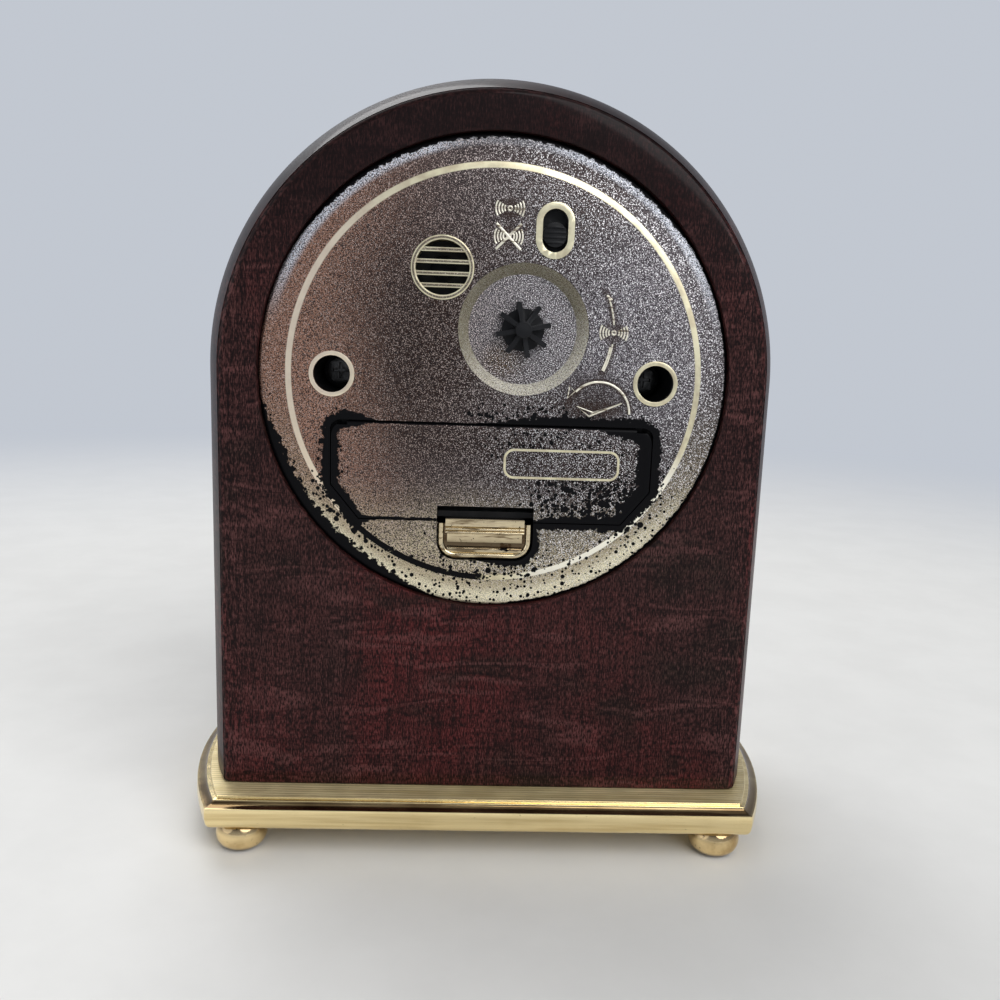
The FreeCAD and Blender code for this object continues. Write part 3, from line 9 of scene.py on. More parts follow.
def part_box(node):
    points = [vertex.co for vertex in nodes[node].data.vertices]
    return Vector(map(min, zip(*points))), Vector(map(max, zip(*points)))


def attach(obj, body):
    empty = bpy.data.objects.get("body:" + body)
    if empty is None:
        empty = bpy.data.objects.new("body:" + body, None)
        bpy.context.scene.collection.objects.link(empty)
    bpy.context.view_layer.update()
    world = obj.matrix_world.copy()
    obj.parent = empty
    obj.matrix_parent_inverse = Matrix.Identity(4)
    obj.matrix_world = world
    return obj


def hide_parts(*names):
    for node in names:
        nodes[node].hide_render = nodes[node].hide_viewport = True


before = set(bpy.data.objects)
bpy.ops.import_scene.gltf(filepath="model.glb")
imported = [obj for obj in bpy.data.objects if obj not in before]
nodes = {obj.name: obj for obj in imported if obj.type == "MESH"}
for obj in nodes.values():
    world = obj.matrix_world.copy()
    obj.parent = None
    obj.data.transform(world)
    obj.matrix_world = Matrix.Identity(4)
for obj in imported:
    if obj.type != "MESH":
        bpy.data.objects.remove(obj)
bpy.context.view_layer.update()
mm = 0.001

# Places read from the frame: the insert's axis, the cover's face, the case and the base
coverLow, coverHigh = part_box("back_cover")
caseLow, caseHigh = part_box("wood_case")
baseLow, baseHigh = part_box("brass_base")
insertZ = (coverLow.z + coverHigh.z) / 2
rimHeight = 0.3 * mm  # how far the raised rims stand above the cover's face
faceY = coverHigh.y - rimHeight


# Small tools for meshes

def arc(cx, cy, radius, start, end, steps):
    turns = [radians(start + (end - start) * i / steps) for i in range(steps + 1)]
    return [(cx + radius * cos(t), cy + radius * sin(t)) for t in turns]


def softened(corners, radii, steps=5):
    # a closed outline with its corners rounded
    outline = []
    for i, (corner, radius) in enumerate(zip(corners, radii)):
        if radius == 0:
            outline.append(corner)
            continue
        here = Vector(corner)
        before = (Vector(corners[i - 1]) - here).normalized()
        after = (Vector(corners[(i + 1) % len(corners)]) - here).normalized()
        half = before.angle(after) / 2
        reach = radius / tan(half)
        middle = here + (before + after).normalized() * (radius / sin(half))
        first = here + before * reach - middle
        last = here + after * reach - middle
        start = degrees(atan2(first.y, first.x))
        outline += arc(*middle, radius, start, start - degrees(first.angle_signed(last)), steps)
    return outline


def quarter(steps):
    # the angles from just past 0 to a right angle
    return [i / steps * pi / 2 for i in range(1, steps + 1)]


def adjusted(thing, **settings):
    for key, value in settings.items():
        setattr(thing, key, value)
    return thing


def placed(name, data):
    thing = bpy.data.objects.new(name, data)
    bpy.context.scene.collection.objects.link(thing)
    return thing


def meshObject(name, bm, finishes):
    mesh = bpy.data.meshes.new(name)
    bm.to_mesh(mesh)
    bm.free()
    mesh.validate()
    for finish in finishes:
        mesh.materials.append(finish.material)
    return placed(name, mesh)


def makePiece(name, bm, finishes, body, smoothAngle, evenShading=False, weld=True):
    if weld:
        bmesh.ops.remove_doubles(bm, verts=bm.verts, dist=1e-7)
        bmesh.ops.recalc_face_normals(bm, faces=bm.faces)
    piece = meshObject(name, bm, finishes)
    piece.data.shade_smooth()
    piece.data.set_sharp_from_angle(angle=radians(smoothAngle))
    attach(piece, body)
    if evenShading:
        adjusted(piece.modifiers.new("faceNormals", "WEIGHTED_NORMAL"), keep_sharp=True, weight=100)
    return piece


def ringFaces(bm, first, second):
    # faces have three sides where a ring is a single point
    for i in range(len(first)):
        j = (i + 1) % len(first)
        corners = list(dict.fromkeys((first[i], first[j], second[j], second[i])))
        if len(corners) > 2:
            bm.faces.new(corners)


def skin(bm, rings, ends=True, closed=False):
    # faces from ring to ring and, when closed, back to the first; ends adds one over each end
    if closed:
        rings = rings + rings[:1]
    for one, two in zip(rings, rings[1:]):
        ringFaces(bm, one, two)
    if ends:
        bm.faces.new(rings[0])
        bm.faces.new(list(reversed(rings[-1])))


def latheInto(bm, profile, place, steps=128, closed=True):
    # a profile of (radius, height) turned about an axis; place turns (radius, height, angle) into a point
    turns = [2 * pi * i / steps for i in range(steps)]
    rings = [[bm.verts.new(place(radius, height, t)) for t in turns] if radius else
             [bm.verts.new(place(0, height, 0))] * steps for radius, height in profile]
    skin(bm, rings, ends=False, closed=closed)


def tubeAlong(bm, path, radius, outward, sides=8, closed=False):
    # a round bar along a path; outward gives a direction away from the path at each point
    rings = []
    turns = [2 * pi * k / sides for k in range(sides)]
    first, last = (path[-1:], path[:1]) if closed else (path[:1], path[-1:])
    for before, point, after in zip(first + path, path, path[1:] + last):
        along = (after - before).normalized()
        side = along.cross(outward(point).normalized()).normalized()
        out = side.cross(along)
        rings.append([bm.verts.new(point + radius * (out * cos(t) + side * sin(t))) for t in turns])
    skin(bm, rings, not closed, closed)


def aboutY(x, z):
    return lambda radius, height, turn: (x + radius * cos(turn), height, z + radius * sin(turn))


def aboutZ(x, y):
    return lambda radius, height, turn: (x + radius * cos(turn), y + radius * sin(turn), height)


# Finishes. A Signal is a node's output that is added, multiplied and faded like a number.
# Nodes wires one node tree, and a Finish is the tree of one procedural material.

class Signal:
    def __init__(self, owner, socket):
        self.owner = owner
        self.socket = socket

    __add__ = __radd__ = lambda self, other: self.owner.maths("ADD", self, other)
    __mul__ = __rmul__ = lambda self, other: self.owner.maths("MULTIPLY", self, other)
    __sub__ = lambda self, other: self.owner.maths("SUBTRACT", self, other)
    __rsub__ = lambda self, other: self.owner.maths("SUBTRACT", other, self)
    __truediv__ = lambda self, other: self.owner.maths("DIVIDE", self, other)
    __abs__ = lambda self: self.owner.maths("ABSOLUTE", self)

    def fade(self, low, high, start=0.0, end=1.0):
        # a smooth step from start to end as the signal goes from low to high
        made = self.owner.node("MapRange", interpolation_type="SMOOTHSTEP")
        self.owner.feedAll(made, {"Value": self, "From Min": low, "From Max": high, "To Min": start, "To Max": end})
        return Signal(self.owner, made.outputs["Result"])


class Nodes:
    def __init__(self, tree, look=None):
        self.tree = tree
        self.look = look  # the settings whose values feed takes by name
        self.place = self.node("TexCoord").outputs["Object"]

    def node(self, kind, **settings):
        return adjusted(self.tree.nodes.new("ShaderNode" + kind), **settings)

    def feed(self, socket, value):
        if isinstance(value, str):
            value = self.look[value]
        if isinstance(value, Signal):
            value = value.socket
        if isinstance(value, bpy.types.NodeSocket):
            self.tree.links.new(value, socket)
        elif value is not None:
            if isinstance(value, tuple) and socket.type == "RGBA":
                value = (*value, 1)
            socket.default_value = value

    def feedAll(self, made, values):
        for socket, value in values.items():
            self.feed(made.inputs[socket], value)

    def maths(self, operation, a, b=None):
        made = self.node("Math", operation=operation)
        self.feedAll(made, {0: a, 1: b})
        return Signal(self, made.outputs[0])

    def stretched(self, x, y, z, vector=None):
        made = self.node("VectorMath", operation="MULTIPLY")
        self.feedAll(made, {0: vector or self.place, 1: (x, y, z)})
        return made.outputs[0]

    def noise(self, scale, detail=2.0, roughness=0.5, vector=None, distortion=0.0):
        made = self.node("TexNoise")
        self.feedAll(made, {"Vector": vector or self.place, "Scale": scale, "Detail": detail,
                            "Roughness": roughness, "Distortion": distortion})
        return Signal(self, made.outputs["Fac"])

    def tint(self, share, under, over):
        made = self.node("Mix", data_type="RGBA")
        self.feedAll(made, {"Factor": share, 6: under, 7: over})
        return Signal(self, made.outputs[2])

    def layered(self, tone, *layers):
        # colours laid one over another, each with its share
        for share, colour in layers:
            tone = self.tint(share, tone, colour)
        return tone

    def parts(self, vector=None):
        made = self.node("SeparateXYZ")
        self.feed(made.inputs[0], vector or self.place)
        return [Signal(self, made.outputs[axis]) for axis in "XYZ"]


socketNames = dict(colour="Base Color", metallic="Metallic", roughness="Roughness", ior="IOR",
                   specular="Specular IOR Level", coat="Coat Weight", coatRoughness="Coat Roughness",
                   coatIor="Coat IOR", transmission="Transmission Weight", normal="Normal")


class Finish(Nodes):
    def __init__(self, name, look=None, **sockets):
        self.material = bpy.data.materials.new(name)
        self.material.use_nodes = True
        super().__init__(self.material.node_tree, look)
        self.shader = self.tree.nodes["Principled BSDF"]
        self.normal = None
        self.wire(**sockets)

    def wire(self, **sockets):
        for socket, value in sockets.items():
            self.feed(self.shader.inputs[socketNames[socket]], value)

    def colour(self, tone, *layers):
        self.wire(colour=self.layered(tone, *layers))

    def bump(self, height, depth, strength=1.0):
        made = self.node("Bump")
        self.feedAll(made, {"Distance": depth, "Strength": strength, "Height": height, "Normal": self.normal})
        self.normal = made.outputs[0]
        self.wire(normal=self.normal)

    def coverPlace(self):
        # millimetres across, above the cover's face and up from the insert's axis
        x, y, z = self.parts()
        return x * (1 / mm), (y - faceY) * (1 / mm), (z - insertZ) * (1 / mm)


def largest(first, *others):
    for other in others:
        first = first.owner.maths("MAXIMUM", first, other)
    return first


def distance(x, z, centre=(0.0, 0.0)):
    dx, dz = x - centre[0], z - centre[1]
    return x.owner.maths("SQRT", dx * dx + dz * dz)


def flipped(signal, least=0.0):
    # 1 where the signal is 0, and least where it is 1
    return signal.fade(0.0, 1.0, 1.0, least)


def darker(colour, share):
    return tuple(c * share for c in colour)


def lighter(colour, share):
    return tuple(min(1.0, c * share + 0.004) for c in colour)


# shadeFrom and shadeTo: the heights over which painted shade darkens the wood towards the top
woodLook = dict(dark=(0.005, 0.0018, 0.002), brown=(0.049, 0.0185, 0.0175), red=(0.09, 0.015, 0.0155),
                green=(0.02, 0.0135, 0.0105), curl=(0.16, 0.064, 0.062),
                shadeFrom=104 * mm, shadeTo=134 * mm, coat=0.15, coatIor=1.45, coatRoughness=0.09)


def lacqueredWood():
    # dark mahogany under a thick gloss: fine upright fibres and a curly figure across them, with painted shade
    # darkening it towards the top
    made = Finish("lacqueredWood", woodLook, roughness=0.45, specular=0.05, coat="coat", ior=1.5,
                  coatRoughness="coatRoughness", coatIor="coatIor")
    grain = made.node("Attribute", attribute_name="grain").outputs["Vector"]
    broad = made.noise(24, 3, 0.6, made.stretched(1, 1, 0.5, grain))
    patches = made.noise(75, 3, 0.6, made.stretched(0.7, 1, 1, grain))
    streaks = made.noise(1400, 3, 0.6, made.stretched(1, 1, 0.07, grain), 0.3)
    fibre = made.noise(4200, 2, 0.6, made.stretched(1, 1, 0.24, grain))
    curl = made.noise(230, 3, 0.55, made.stretched(0.2, 1, 1, grain), 1.2)
    lines = curl.fade(0.455, 0.49) * curl.fade(0.525, 0.49)
    height = made.parts()[2]
    made.colour("brown",
                (broad.fade(0.42, 0.68), "red"),
                (patches.fade(0.5, 0.66, 0.0, 0.75), "green"),
                (streaks.fade(0.32, 0.6, 0.75, 0.0), "dark"),
                (curl.fade(0.53, 0.66, 0.0, 0.3), "curl"),
                (lines * 0.55, "dark"),
                (fibre.fade(0.4, 0.56, 0.95, 0.0), "dark"),
                (fibre.fade(0.57, 0.7, 0.0, 0.4), "curl"),
                # painted shade: darker towards the top
                (height.fade("shadeFrom", "shadeTo", 0.0, 0.75), "dark"))
    made.bump(made.noise(90, 2), 0.00006, 0.25)
    return made


brassLook = dict(ribPitch=0.9 * mm, cove=(0.13, 0.075, 0.03), speck=(0.05, 0.035, 0.02))


def polishedBrass(name="polishedBrass", colour=(0.96, 0.78, 0.42), darkToneAndShade=(0.6, 0.43, 0.18),
                  roughness=0.17, brushed=0.0, cove=None, metallic=1.0):
    # tarnish clouds, drawn streaks and, on the brushed field, fine ribs along X, darkened in their valleys with
    # painted shade
    made = Finish(name, brassLook, metallic=metallic, coat=0.2, coatRoughness=0.1)
    x, y, z = made.parts()
    streaks = made.noise(900, 3, 0.6, made.stretched(0.03, 0.6, 1))
    hairs = made.noise(5200, 3, 0.6, made.stretched(0.02, 1, 1))
    # the ribs bump the field and darken its valleys with painted shade
    ribs = made.maths("SINE", y * (2 * pi / brassLook["ribPitch"])).fade(-0.2, 0.9) * brushed
    layers = [(made.noise(60, 4, 0.6).fade(0.45, 0.75, 0.0, 0.35), darkToneAndShade),
              (streaks.fade(0.42, 0.68, 0.0, 0.55), darkToneAndShade),
              (ribs * 0.75, darkToneAndShade),
              (hairs.fade(0.35, 0.7, 0.5 * brushed, 0.0), darkToneAndShade)]
    if cove:
        low, high = cove
        # darker in the cove, in clouds
        coveDarkening = z.fade(low - 0.1 * mm, low + 0.05 * mm) * z.fade(high + 0.02 * mm, high - 0.12 * mm)
        layers.append((coveDarkening * made.noise(70, 3).fade(0.35, 0.6, 0.75, 0.95), "cove"))
    layers.append((made.noise(1900, 2).fade(0.735, 0.78), "speck"))
    made.colour(colour, *layers)
    made.wire(roughness=made.noise(260, 3).fade(0.3, 0.75, roughness * 0.8, roughness * 1.4))
    made.bump(ribs, 0.00008, 0.6)
    made.bump(hairs, 0.00003, 0.15 + brushed)
    made.bump(streaks, 0.00003, 0.4)
    return made


footLook = dict(bright=(0.9, 0.7, 0.38), aged=(0.55, 0.38, 0.17), neckShade=(0.1, 0.055, 0.03),
                speck=(0.05, 0.03, 0.02), soleShade=(0.1, 0.06, 0.03))


def antiqueBrass():
    # painted shade: darker at the neck, under the base, and at the sole
    made = Finish("antiqueBrass", footLook, metallic=1.0)
    height = made.parts()[2] * (1 / mm)
    made.colour("bright",
                (made.noise(170, 4, 0.6).fade(0.4, 0.72), "aged"),
                (height.fade(3.4, 5.2, 0.0, 0.7), "neckShade"),
                (made.noise(1500, 3, 0.6).fade(0.66, 0.7), "speck"),
                (height.fade(0.4, 1.6, 0.7, 0.0), "soleShade"))
    made.wire(roughness=made.noise(400, 3).fade(0.3, 0.7, 0.1, 0.2))
    made.bump(made.noise(700, 2), 0.00003, 0.35)
    return made


platedLook = dict(mid=(0.076, 0.059, 0.057), pink=(0.34, 0.185, 0.13), dark=(0.034, 0.021, 0.017),
                  silver=(0.145, 0.133, 0.148), straw=(0.58, 0.5, 0.34), rim=(0.62, 0.64, 0.7),
                  cream=(0.9, 0.83, 0.6), dish=(0.205, 0.19, 0.2), stain=(0.1, 0.06, 0.025),
                  grainDark=(0.02, 0.017, 0.018), glintPale=(0.97, 0.95, 0.96), glintWarm=(0.86, 0.7, 0.63),
                  gold=(0.78, 0.72, 0.5), blush=(0.86, 0.7, 0.58), ringHighlight=(1.0, 0.97, 0.86),
                  olive=(0.36, 0.34, 0.25), pale=(0.86, 0.83, 0.7), wornAndShade=(0.0035, 0.0035, 0.0042))
# places on the cover in millimetres from the insert's axis, as the cover's own forms have them
coverPlaces = dict(discRadius=38.05, ringRadius=39.3, rimRadius=44.35, dish=(-5.15, 9.25), dishFloor=10.35,
                   dishRadius=12.3, wells=30.5, wellReach=5.0, grille=(10.245, 20.11), grilleReach=5.9,
                   grilleHole=4.98, grilleRing=5.42, grilleBars=(2.15, 1.075), doorHalfWidth=30.6,
                   doorTop=-8.7, doorLow=-27.4, doorCorner=3.0, chamferTop=-20.9, chamferIn=5.3,
                   latch=((0.9, -31.0), (9.05, 3.9), 3.4), label=((-13.4, -16.0), (11.0, 2.7), 2.0))
signPlaces = dict(alarmOn=(-1.85, 31.04), alarmOff=(-1.75, 26.05), alarmTime=(-22.1, 9.28),
                  clock=(-19.9, -5.9), clockRadius=5.95, hands=(-19.6, -5.2))


def roundedCorner(across, along, radius):
    # distance past two edges that meet in a rounded corner
    return distance(largest(across + radius, 0.0), largest(along + radius, 0.0)) - radius


def panelEdge(x, z, centre, half, radius):
    return roundedCorner(abs(x - centre[0]) - half[0], abs(z - centre[1]) - half[1], radius)


def doorEdge(x, z):
    # millimetres outside the battery door's outline, less than zero inside it
    at = Fields(**coverPlaces)
    side = abs(x) - at.doorHalfWidth
    corner = roundedCorner(side, z - at.doorTop, at.doorCorner)
    rise = at.chamferTop - at.doorLow
    length = hypot(rise, at.chamferIn)
    chamfer = side * (rise / length) + (at.chamferTop - z) * (at.chamferIn / length)
    return largest(corner, at.doorLow - z, chamfer)


def blob(x, z, cx, cz, rx, rz, soft=0.6):
    # 1 in the middle of an oval and 0 outside it
    return distance((x - cx) * (1 / rx), (z - cz) * (1 / rz)).fade(1.0, 1.0 - soft)


def dots(density, scale):
    # round spots of many sizes, more and larger where the density is high
    made = density.owner
    cell = made.node("TexVoronoi")
    made.feedAll(cell, {"Vector": made.place, "Scale": scale})
    size = density - made.parts(cell.outputs["Color"])[0] * 0.9
    return (Signal(made, cell.outputs["Distance"]) - size).fade(0.05, -0.03)


def ragged(away, width, noise):
    # 1 where away is less than width, with a torn edge
    return (away / width + (noise - 0.5) * 1.9).fade(1.08, 0.92)


def platedToneAndPaintedLight(x, z, reach, edge):
    # the broad colours of the stippled faces, partly the plating's own tone and partly painted reflections and
    # shade: pinker towards +x, silver towards -x, straw and cream low down, darker in the middle and over the door;
    # the band along the top of the rim is a painted highlight
    made = x.owner
    drift = (made.noise(34, 2) - 0.5) * 14
    x, z = x + drift, z + drift
    doorShade = largest(blob(x, z, 0, -12, 26, 9, 0.7), blob(x, z, -21, -16, 15, 9, 0.6))
    return made.layered(
        "mid",
        (x.fade(8, 36), "pink"),
        (blob(x, z, 13, 8, 25, 34, 0.8), "dark"),
        (blob(x, z, -27, 8, 26, 34, 0.8) * 0.9, "silver"),
        (z.fade(-19, -37) * 0.92, "straw"),
        (edge.fade(0.1, -0.1) * doorShade * 0.85, "dark"),
        (blob(x, z, -17, -4, 15, 9, 0.8) * 0.8, "dark"),
        (reach.fade(39.2, 39.6) * z.fade(0, -30) * 0.5, "straw"),
        # painted highlight along the top of the rim, at both sides
        (reach.fade(41.7, 42.9) * z.fade(6, 22) * abs(x).fade(5, 16, 0.3, 0.95), "rim"),
        (reach.fade(40.2, 42.4) * z.fade(-20, -34) * 0.9, "cream"))


def wornPlating(x, z, reach, edge):
    # where the plating is gone and the black plastic shows
    at, made = Fields(**coverPlaces), x.owner
    torn = made.noise(1050, 3, 0.6)

    # a torn band along the door's outline, wider at both ends of the door
    outer = largest(x.fade(21, 28), x.fade(4, -12)) * z.fade(-29, -24, 0.75, 1.0) * 1.75 + 0.22
    inner = largest(x.fade(-19, -28) * 2.3, x.fade(-7, -16) * z.fade(-20, -25) * 1.1,
                    x.fade(22, 29) * 1.15) + 0.4
    halo = ragged(edge * -1, inner, torn) * ragged(edge, outer, torn)

    # the rim's outer edge, and the lower left of the step ring
    angle = made.maths("ARCTAN2", z, x)
    lowerLeft = angle.fade(-1.42, -0.95) * angle.fade(-0.08, -0.35) * 2.3
    crown = angle.fade(0.45, 0.9) * angle.fade(2.75, 2.3) * 0.75
    lowerRight = angle.fade(-2.75, -2.5) * angle.fade(-1.55, -1.75) * 0.42
    width = largest(lowerLeft, crown, x.fade(-30, -38) * 0.4, lowerRight) + 0.2
    crescent = ragged(at.rimRadius + 0.05 - reach, width, made.noise(760, 3, 0.65))
    band = (reach.fade(37.9, 38.1) * reach.fade(39.5, 39.3)
            * (angle.fade(-1.75, -1.45) * angle.fade(-0.62, -0.8)))
    band = (band + (torn - 0.5)).fade(0.72, 0.85)

    # round the latch, and pits that gather near all of these
    latchEdge = panelEdge(x, z, *at.latch)
    under = ragged(latchEdge, x.fade(5, -5, 0.0, 1.45) + 0.15, torn) * z.fade(-25.5, -27.5)
    density = (z.fade(8, -40, 0.0, 0.17)
               + blob(x, z, -17, -22, 15, 7) * 0.62
               + blob(x, z, -10, -12.5, 18, 5.5) * 0.42
               + blob(x, z, -6, -6.5, 19, 4) * 0.5
               + reach.fade(36.4, 38.2) * z.fade(-10, -26) * 0.28
               + latchEdge.fade(7, 0) * z.fade(-26, -31) * 0.34
               + reach.fade(41.2, 43.2) * z.fade(14, -8) * x.fade(6, 24) * 0.34
               + abs(edge).fade(5.5, 0.8) * abs(x).fade(21, 27) * 0.36)
    density = density * flipped(panelEdge(x, z, *at.label).fade(0.4, 0.1), 0.5)
    return largest(halo, crescent, band, under, dots(density, 880), dots(density * 1.1, 1500))


def signShadow(x, z, fromDish):
    # painted shadow on the ground about the raised signs
    at = Fields(**signPlaces)
    arrow = abs(fromDish - dist(coverPlaces["dish"], at.alarmTime)).fade(1.0, 0.45)
    clock = abs(distance(x, z, at.clock) - at.clockRadius).fade(0.85, 0.4)
    waves = [blob(x, z, *sign, 3.3, 2.2, 0.35) for sign in (at.alarmOn, at.alarmOff, at.alarmTime)]
    return largest(arrow * x.fade(-18.5, -19.5) * z.fade(0, 2) * z.fade(18, 16.5), *waves,
                   clock * z.fade(-6.5, -5), blob(x, z, *at.hands, 5.2, 1.9, 0.4))


def platedPlastic():
    # stippled nickel and gold plating on black plastic, worn through in spots, with painted reflections,
    # highlights, glints and shade
    at = Fields(**coverPlaces)
    made = Finish("platedPlastic", platedLook, specular=0.06)
    x, lift, z = made.coverPlace()
    reach = distance(x, z)
    edge = doorEdge(x, z)
    fromDish = distance(x, z, at.dish)
    grain = made.noise(4500, 2, 0.6)
    grit = made.noise(5400, 1)
    calm = reach.fade(39.3, 39.8) * z.fade(-18, -30) * 0.5
    rough = 1.0 - calm
    dishFloor = fromDish.fade(at.dishFloor + 0.1, at.dishFloor - 0.1)
    # painted glints: bright grains, more towards -x, low down and on the dish floor, and fewer about the clock sign
    paintedGlints = x.fade(20, -24, 0.36, 0.8) + z.fade(-20, -34) * 0.25 + dishFloor * 0.6
    paintedGlints = paintedGlints * flipped(blob(x, z, -19, -3, 11, 9, 0.8), 0.45)
    glintColour = made.tint(x.fade(-10, 14), "glintPale", "glintWarm")
    stippled = made.layered(
        platedToneAndPaintedLight(x, z, reach, edge),
        (dishFloor * z.fade(-1, 8, 0.4, 0.8), "dish"),
        (blob(x, z, -1.5, 3.5, 6, 5, 0.9) * 0.8, "stain"),
        (grain.fade(0.57, 0.42) * rough * 0.95, "grainDark"),
        (grit.fade(0.57, 0.66) * paintedGlints * rough, glintColour),
        (signShadow(x, z, fromDish) * 0.62, "dark"))

    # smooth gilt: the step ring, the raised rims, and the grille's bars with their hollows
    band = (reach.fade(at.discRadius - 0.1, at.discRadius + 0.15)
            * reach.fade(at.ringRadius + 0.1, at.ringRadius - 0.15))
    rims = lift.fade(0.06, 0.14)
    fromGrille = distance(x, z, at.grille)
    grille = fromGrille.fade(at.grilleReach, at.grilleReach - 0.1)
    pitch, middle = at.grilleBars
    fromBar = abs(abs(abs(z - at.grille[1]) - pitch) - middle)
    hollow = largest(fromGrille.fade(at.grilleHole, at.grilleHole - 0.08) * fromBar.fade(0.25, 0.13),
                     abs(fromGrille - at.grilleRing).fade(0.24, 0.12))
    gilt = largest(band, rims, grille) * flipped(hollow, 0.15)
    angle = made.maths("ARCTAN2", z, x)
    giltTone = made.layered(
        "gold",
        (made.noise(320, 3, 0.6).fade(0.35, 0.72), "straw"),
        # pinker towards +x: partly the gilt's own tone and partly a painted reflection
        (x.fade(12, 34, 0.0, 0.6), "blush"),
        # painted highlight on the step ring's lower right
        (band * angle.fade(-1.62, -1.85) * angle.fade(-2.85, -2.6) * 0.85, "ringHighlight"))

    # the dish's sloping wall: olive above and pale below, painted shade and painted light by which way the wall
    # faces, with painted glints on the lower side
    wall = (fromDish.fade(at.dishFloor - 0.15, at.dishFloor + 0.1) * lift.fade(-0.05, -0.12)
            * fromDish.fade(at.dishRadius + 0.2, at.dishRadius))
    low = (z + x * 0.35).fade(11, -3)
    wallLightAndShade = made.layered(
        "olive", (low, "pale"), (grain.fade(0.55, 0.4, 0.0, 0.85), "stain"),
        (grit.fade(0.54, 0.66) * low.fade(0, 1, 0.35, 0.85), "glintPale"))

    # black: the plating worn through, and painted shade deep in the openings and inside the screw wells
    kept = rims * largest(edge.fade(-0.6, -0.2), panelEdge(x, z, *at.label).fade(1.0, 0.7))
    worn = wornPlating(x, z, reach, edge) * flipped(wall) * flipped(kept, 0.2)
    wells = largest(*[distance(x, z, (side * at.wells, 0.0)).fade(at.wellReach, at.wellReach - 0.1)
                      for side in (1, -1)])
    wornAndShade = largest(worn, lift.fade(-3.6, -4.2), wells * lift.fade(-0.5, -1.1))
    made.colour(stippled, (gilt, giltTone), (wall, wallLightAndShade), (wornAndShade, "wornAndShade"))
    made.wire(metallic=(0.9 - largest(wall, calm) * 0.5) * (1.0 - wornAndShade))
    made.wire(roughness=largest(gilt, wornAndShade * 0.9).fade(0.0, 1.0, 0.38, 0.31))
    made.bump(grain, 0.00012, flipped(largest(gilt, wornAndShade)) * 0.8)
    made.bump(made.noise(500, 2), 0.00003, 0.3)
    return made


giltLook = dict(colour=(0.66, 0.55, 0.36), line=(0.12, 0.075, 0.035), groove=(0.06, 0.035, 0.018),
                wornSpot=(-3.0, -32.6, 2.2, 1.9, 0.9))


def giltPlastic(name, colour, grooveDepth, pitted=False, metallic=1.0):
    # drawn gilt, darkened in its grooves with painted shade, with a few pits on the latch's lip
    made = Finish(name, giltLook, metallic=metallic)
    x, lift, z = made.coverPlace()
    lines = made.noise(1500, 3, 0.6, made.stretched(0.1, 1, 1))
    layers = [(made.noise(420, 3, 0.6).fade(0.4, 0.72), darker(colour, 0.85)),
              (lines.fade(0.5, 0.36, 0.0, 0.85), "line")]
    if pitted:
        pits = made.noise(1300, 3, 0.65) + blob(x, z, *giltLook["wornSpot"]) * 0.26
        layers.append((pits.fade(0.665, 0.69), platedLook["wornAndShade"]))
    # painted shade in the grooves
    layers.append((lift.fade(-grooveDepth * 0.8, -grooveDepth * 1.3, 0.0, 0.9), "groove"))
    made.colour(colour, *layers)
    made.wire(roughness=made.noise(900, 2).fade(0.3, 0.7, 0.1, 0.2))
    made.bump(lines, 0.00005, 0.5)
    return made


def mouldedPlastic(name, colour, roughness=0.45):
    made = Finish(name, specular=0.15)
    made.colour(colour, (made.noise(240, 3, 0.6).fade(0.35, 0.7), lighter(colour, 1.35)))
    made.wire(roughness=made.noise(1500, 2).fade(0.3, 0.7, roughness * 0.85, roughness * 1.15))
    made.bump(made.noise(3200, 2), 0.00004, 0.35)
    return made


def plainMetal(name, colour, roughness):
    made = Finish(name, metallic=1.0)
    hairs = made.noise(2600, 3, 0.6)
    made.colour(darker(colour, 0.72), (hairs.fade(0.35, 0.7), colour))
    made.wire(roughness=made.noise(500, 3).fade(0.3, 0.7, roughness * 0.8, roughness * 1.25))
    made.bump(hairs, 0.00002, 0.3)
    return made


def printedInk(name, colour):
    made = Finish(name, roughness=0.5, specular=0.3)
    made.colour(colour, (made.noise(1800, 2).fade(0.3, 0.7), lighter(colour, 1.4)))
    made.bump(made.noise(4200, 2), 0.00001, 0.4)
    return made


def dialPaint():
    made = Finish("dialIvory", roughness=0.42, specular=0.4, coat=0.2, coatRoughness=0.2)
    fibres = made.noise(2600, 3, 0.6)
    made.colour((0.92, 0.87, 0.73),
                (made.noise(35, 3).fade(0.35, 0.7), (0.88, 0.82, 0.67)),
                (fibres.fade(0.35, 0.7, 0.25, 0.0), (0.72, 0.66, 0.52)))
    made.bump(fibres, 0.00001, 0.4)
    return made


def clearGlass():
    made = Finish("clearGlass", colour=(0.97, 0.985, 0.98), ior=1.46, transmission=1.0)
    made.wire(roughness=made.noise(120, 3, 0.6).fade(0.45, 0.8, 0.0, 0.03))
    return made


def copperWindings():
    made = Finish("copperWire", metallic=1.0)
    turns = made.noise(6500, 1, 0.3, made.stretched(0.02, 0.02, 1))
    made.colour((0.28, 0.1, 0.04), (turns.fade(0.4, 0.62), (0.78, 0.36, 0.16)))
    made.wire(roughness=made.noise(700, 2).fade(0.3, 0.7, 0.24, 0.36))
    made.bump(turns, 0.00005, 0.8)
    return made


jacketLook = dict(band=(0.02, 0.05, 0.12), wrap=(0.34, 0.37, 0.41), wrapPale=(0.42, 0.45, 0.49),
                  bandShare=0.34, capLength=1.4 * mm)


